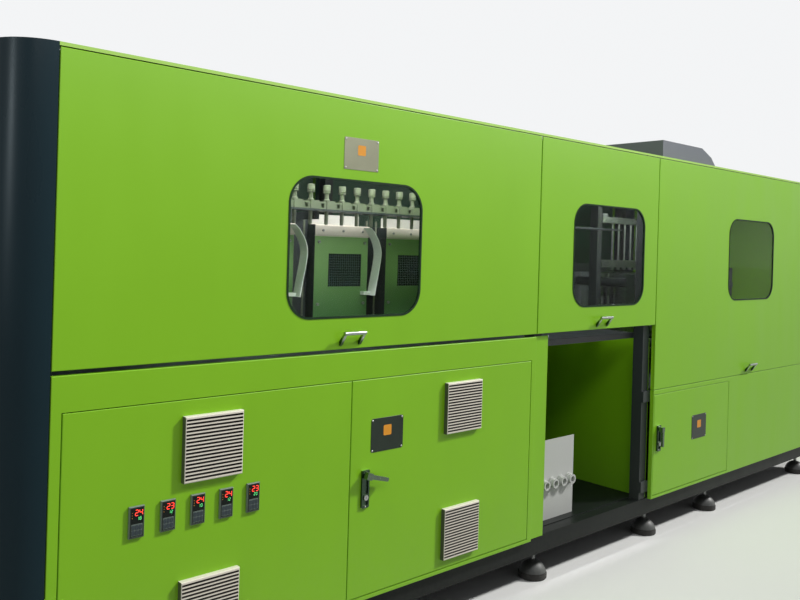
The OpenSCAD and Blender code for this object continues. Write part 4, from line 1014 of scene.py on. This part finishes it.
# %% Threads on the feet
FOOT_X = [90, 1188, 2334, 3335, 4045, 5430]
FOOT_Y = [110, 1690]
THREAD_Z = (90, 130)
THREAD_PITCH = 2.5
THREAD_ROOT, THREAD_CREST = 10.1, 10.9
TURNS = math.ceil((THREAD_Z[1] - THREAD_Z[0]) / THREAD_PITCH)
thread_profile = []
for turn in range(TURNS):
    z = THREAD_Z[0] + turn * THREAD_PITCH
    thread_profile += [(THREAD_ROOT, z), (THREAD_CREST, z + 0.8),
                       (THREAD_CREST, z + 1.2), (THREAD_ROOT, z + 2)]
threads = bmesh.new()
for x in FOOT_X:
    for y in FOOT_Y:
        add_turned(threads, x, y, 0, thread_profile, axis="Z", count=16)
piece("foot_threads", threads, zinc_metal, "machine")

# %% Screws of the lever plates
LEVER_PLATE_Y = -8
PLATE_SCREW_BELOW_AXIS = 118.5
for name, body, x, axis_z in (("oven_plate_screws", "right_door", 1161, 714),
                              ("clamp_plate_screws", "clamp_door", 3277, 618)):
    bm = bmesh.new()
    z = axis_z - PLATE_SCREW_BELOW_AXIS
    add_turned(bm, x, LEVER_PLATE_Y, z, rivet_profile(3, 1.4), count=14)
    piece(name, bm, zinc_metal, body)

# %% [markdown]
# ## Floor and background
# The machine stands on a plain pale floor before a plain pale background. More light could make
# both white, but light that bounces off a near-white floor would wash out the covers from below.
# So the floor and the world are bright only where the camera, a mirror or glass shows them, and
# darker for the light that bounces.

# %% The floor
FLOOR_HALF = 150


def shown_rays(tree):
    """1 for what the camera, a mirror or glass shows, and 0 for light that bounces."""
    rays = add(tree, "ShaderNodeLightPath")
    seen = math_node(tree, "MAXIMUM", rays.outputs["Is Camera Ray"], rays.outputs["Is Glossy Ray"])
    return math_node(tree, "MAXIMUM", seen, rays.outputs["Is Transmission Ray"])


def stage_floor(half):
    mesh = bpy.data.meshes.new("floor")
    mesh.from_pydata([(-half, -half, 0), (half, -half, 0), (half, half, 0), (-half, half, 0)], [],
                     [(0, 1, 2, 3)])
    floor = bpy.data.objects.new("floor", mesh)
    scene.collection.objects.link(floor)
    floor_paint = painted("floor_paint", srgb(150, 152, 150), rough=0.85, drift=0.0, grain_bump=0.0,
                          dust=0.0, specular=0.1)
    masked(floor_paint, shown_rays, srgb(224, 225, 224))
    mesh.materials.append(floor_paint)


stage_floor(FLOOR_HALF)
print("floor:", 2 * FLOOR_HALF, "m wide")

# %% The world and the view
WORLD_STRENGTH = 0.17
WORLD_LIGHT = (0.98, 0.99, 1.0, 1)
BACKGROUND = (0.9, 0.91, 0.92, 1)


def set_world():
    world = bpy.data.worlds.new("studio")
    scene.world = world
    world.use_nodes = True
    tree = world.node_tree
    light = tree.nodes["Background"]
    light.inputs["Color"].default_value = WORLD_LIGHT
    light.inputs["Strength"].default_value = WORLD_STRENGTH
    shown = add(tree, "ShaderNodeBackground")
    shown.inputs["Color"].default_value = BACKGROUND
    mix = add(tree, "ShaderNodeMixShader")
    tree.links.new(shown_rays(tree), mix.inputs["Fac"])
    tree.links.new(light.outputs[0], mix.inputs[1])
    tree.links.new(shown.outputs[0], mix.inputs[2])
    tree.links.new(mix.outputs[0], tree.nodes["World Output"].inputs["Surface"])


set_world()
scene.view_settings.view_transform = "Standard"
print("world strength:", WORLD_STRENGTH, "and view transform:", scene.view_settings.view_transform)

# %% [markdown]
# ## Lamps
# A soft sun from the front right lights the covers at a level at which a colour renders about as
# it is written. A long lamp above the front makes them brighter at the top, two broad lamps fill
# the left end and the rear, and three strips light the cabin behind the windows. One narrow
# strip shows only as a reflection, and draws the thin upright highlight on the corner post. A
# picture of a studio could light it all at once, but single lamps can be set one by one.

# %% Lamp makers
def hang(name, data, direction):
    """Puts a lamp in the scene so that it shines along a direction."""
    lamp = bpy.data.objects.new(name, data)
    scene.collection.objects.link(lamp)
    lamp.rotation_mode = "QUATERNION"
    lamp.rotation_quaternion = direction.to_track_quat("-Z", "Y")
    return lamp


def area_lamp(name, place, target, size, watts, color=(1, 1, 1)):
    data = bpy.data.lights.new(name, "AREA")
    data.shape = "RECTANGLE"
    data.size, data.size_y = size
    data.energy = watts
    data.color = color
    lamp = hang(name, data, Vector(target) - Vector(place))
    lamp.location = place
    lamp.visible_camera = False
    return lamp


print("lamp makers:", hang.__name__, "and", area_lamp.__name__)

# %% Hang the lamps
SUN_ENERGY = 2.75
SUN_ANGLE = math.radians(5)
SUN_TINT = (1.0, 0.985, 0.95)
SUN_DIRECTION = Vector((-20, 11, -19))
COOL_WHITE = (0.82, 0.95, 1.0)
CABIN_X = (-1.6, 0.0, 1.6)

sun = bpy.data.lights.new("key", "SUN")
sun.energy = SUN_ENERGY
sun.angle = SUN_ANGLE
sun.color = SUN_TINT
hang("key", sun, SUN_DIRECTION)
area_lamp("front_high", (-0.3, -2.5, 2.85), (-0.3, -0.9, 2.0), size=(7.5, 0.4), watts=42)
area_lamp("left_high", (-8, -2, 4.5), (-2.9, 0, 1.2), size=(4, 3), watts=25)
area_lamp("back_high", (0, 5, 4.5), (0, 0.9, 1.2), size=(8, 2), watts=120)
post_strip = area_lamp("post_strip", (-5.8, -1.35, 2.25), (-2.87, -0.83, 1.95), size=(0.22, 1.1),
                       watts=20, color=COOL_WHITE)
post_strip.visible_diffuse = False
for x in CABIN_X:
    area_lamp("cabin_%d" % round(x * 10), (x, -0.82, 2.03), (x, -0.5, 1.4), size=(1.1, 0.05), watts=8)

# %% [markdown]
# ## The end

# %% Finish
print("done")
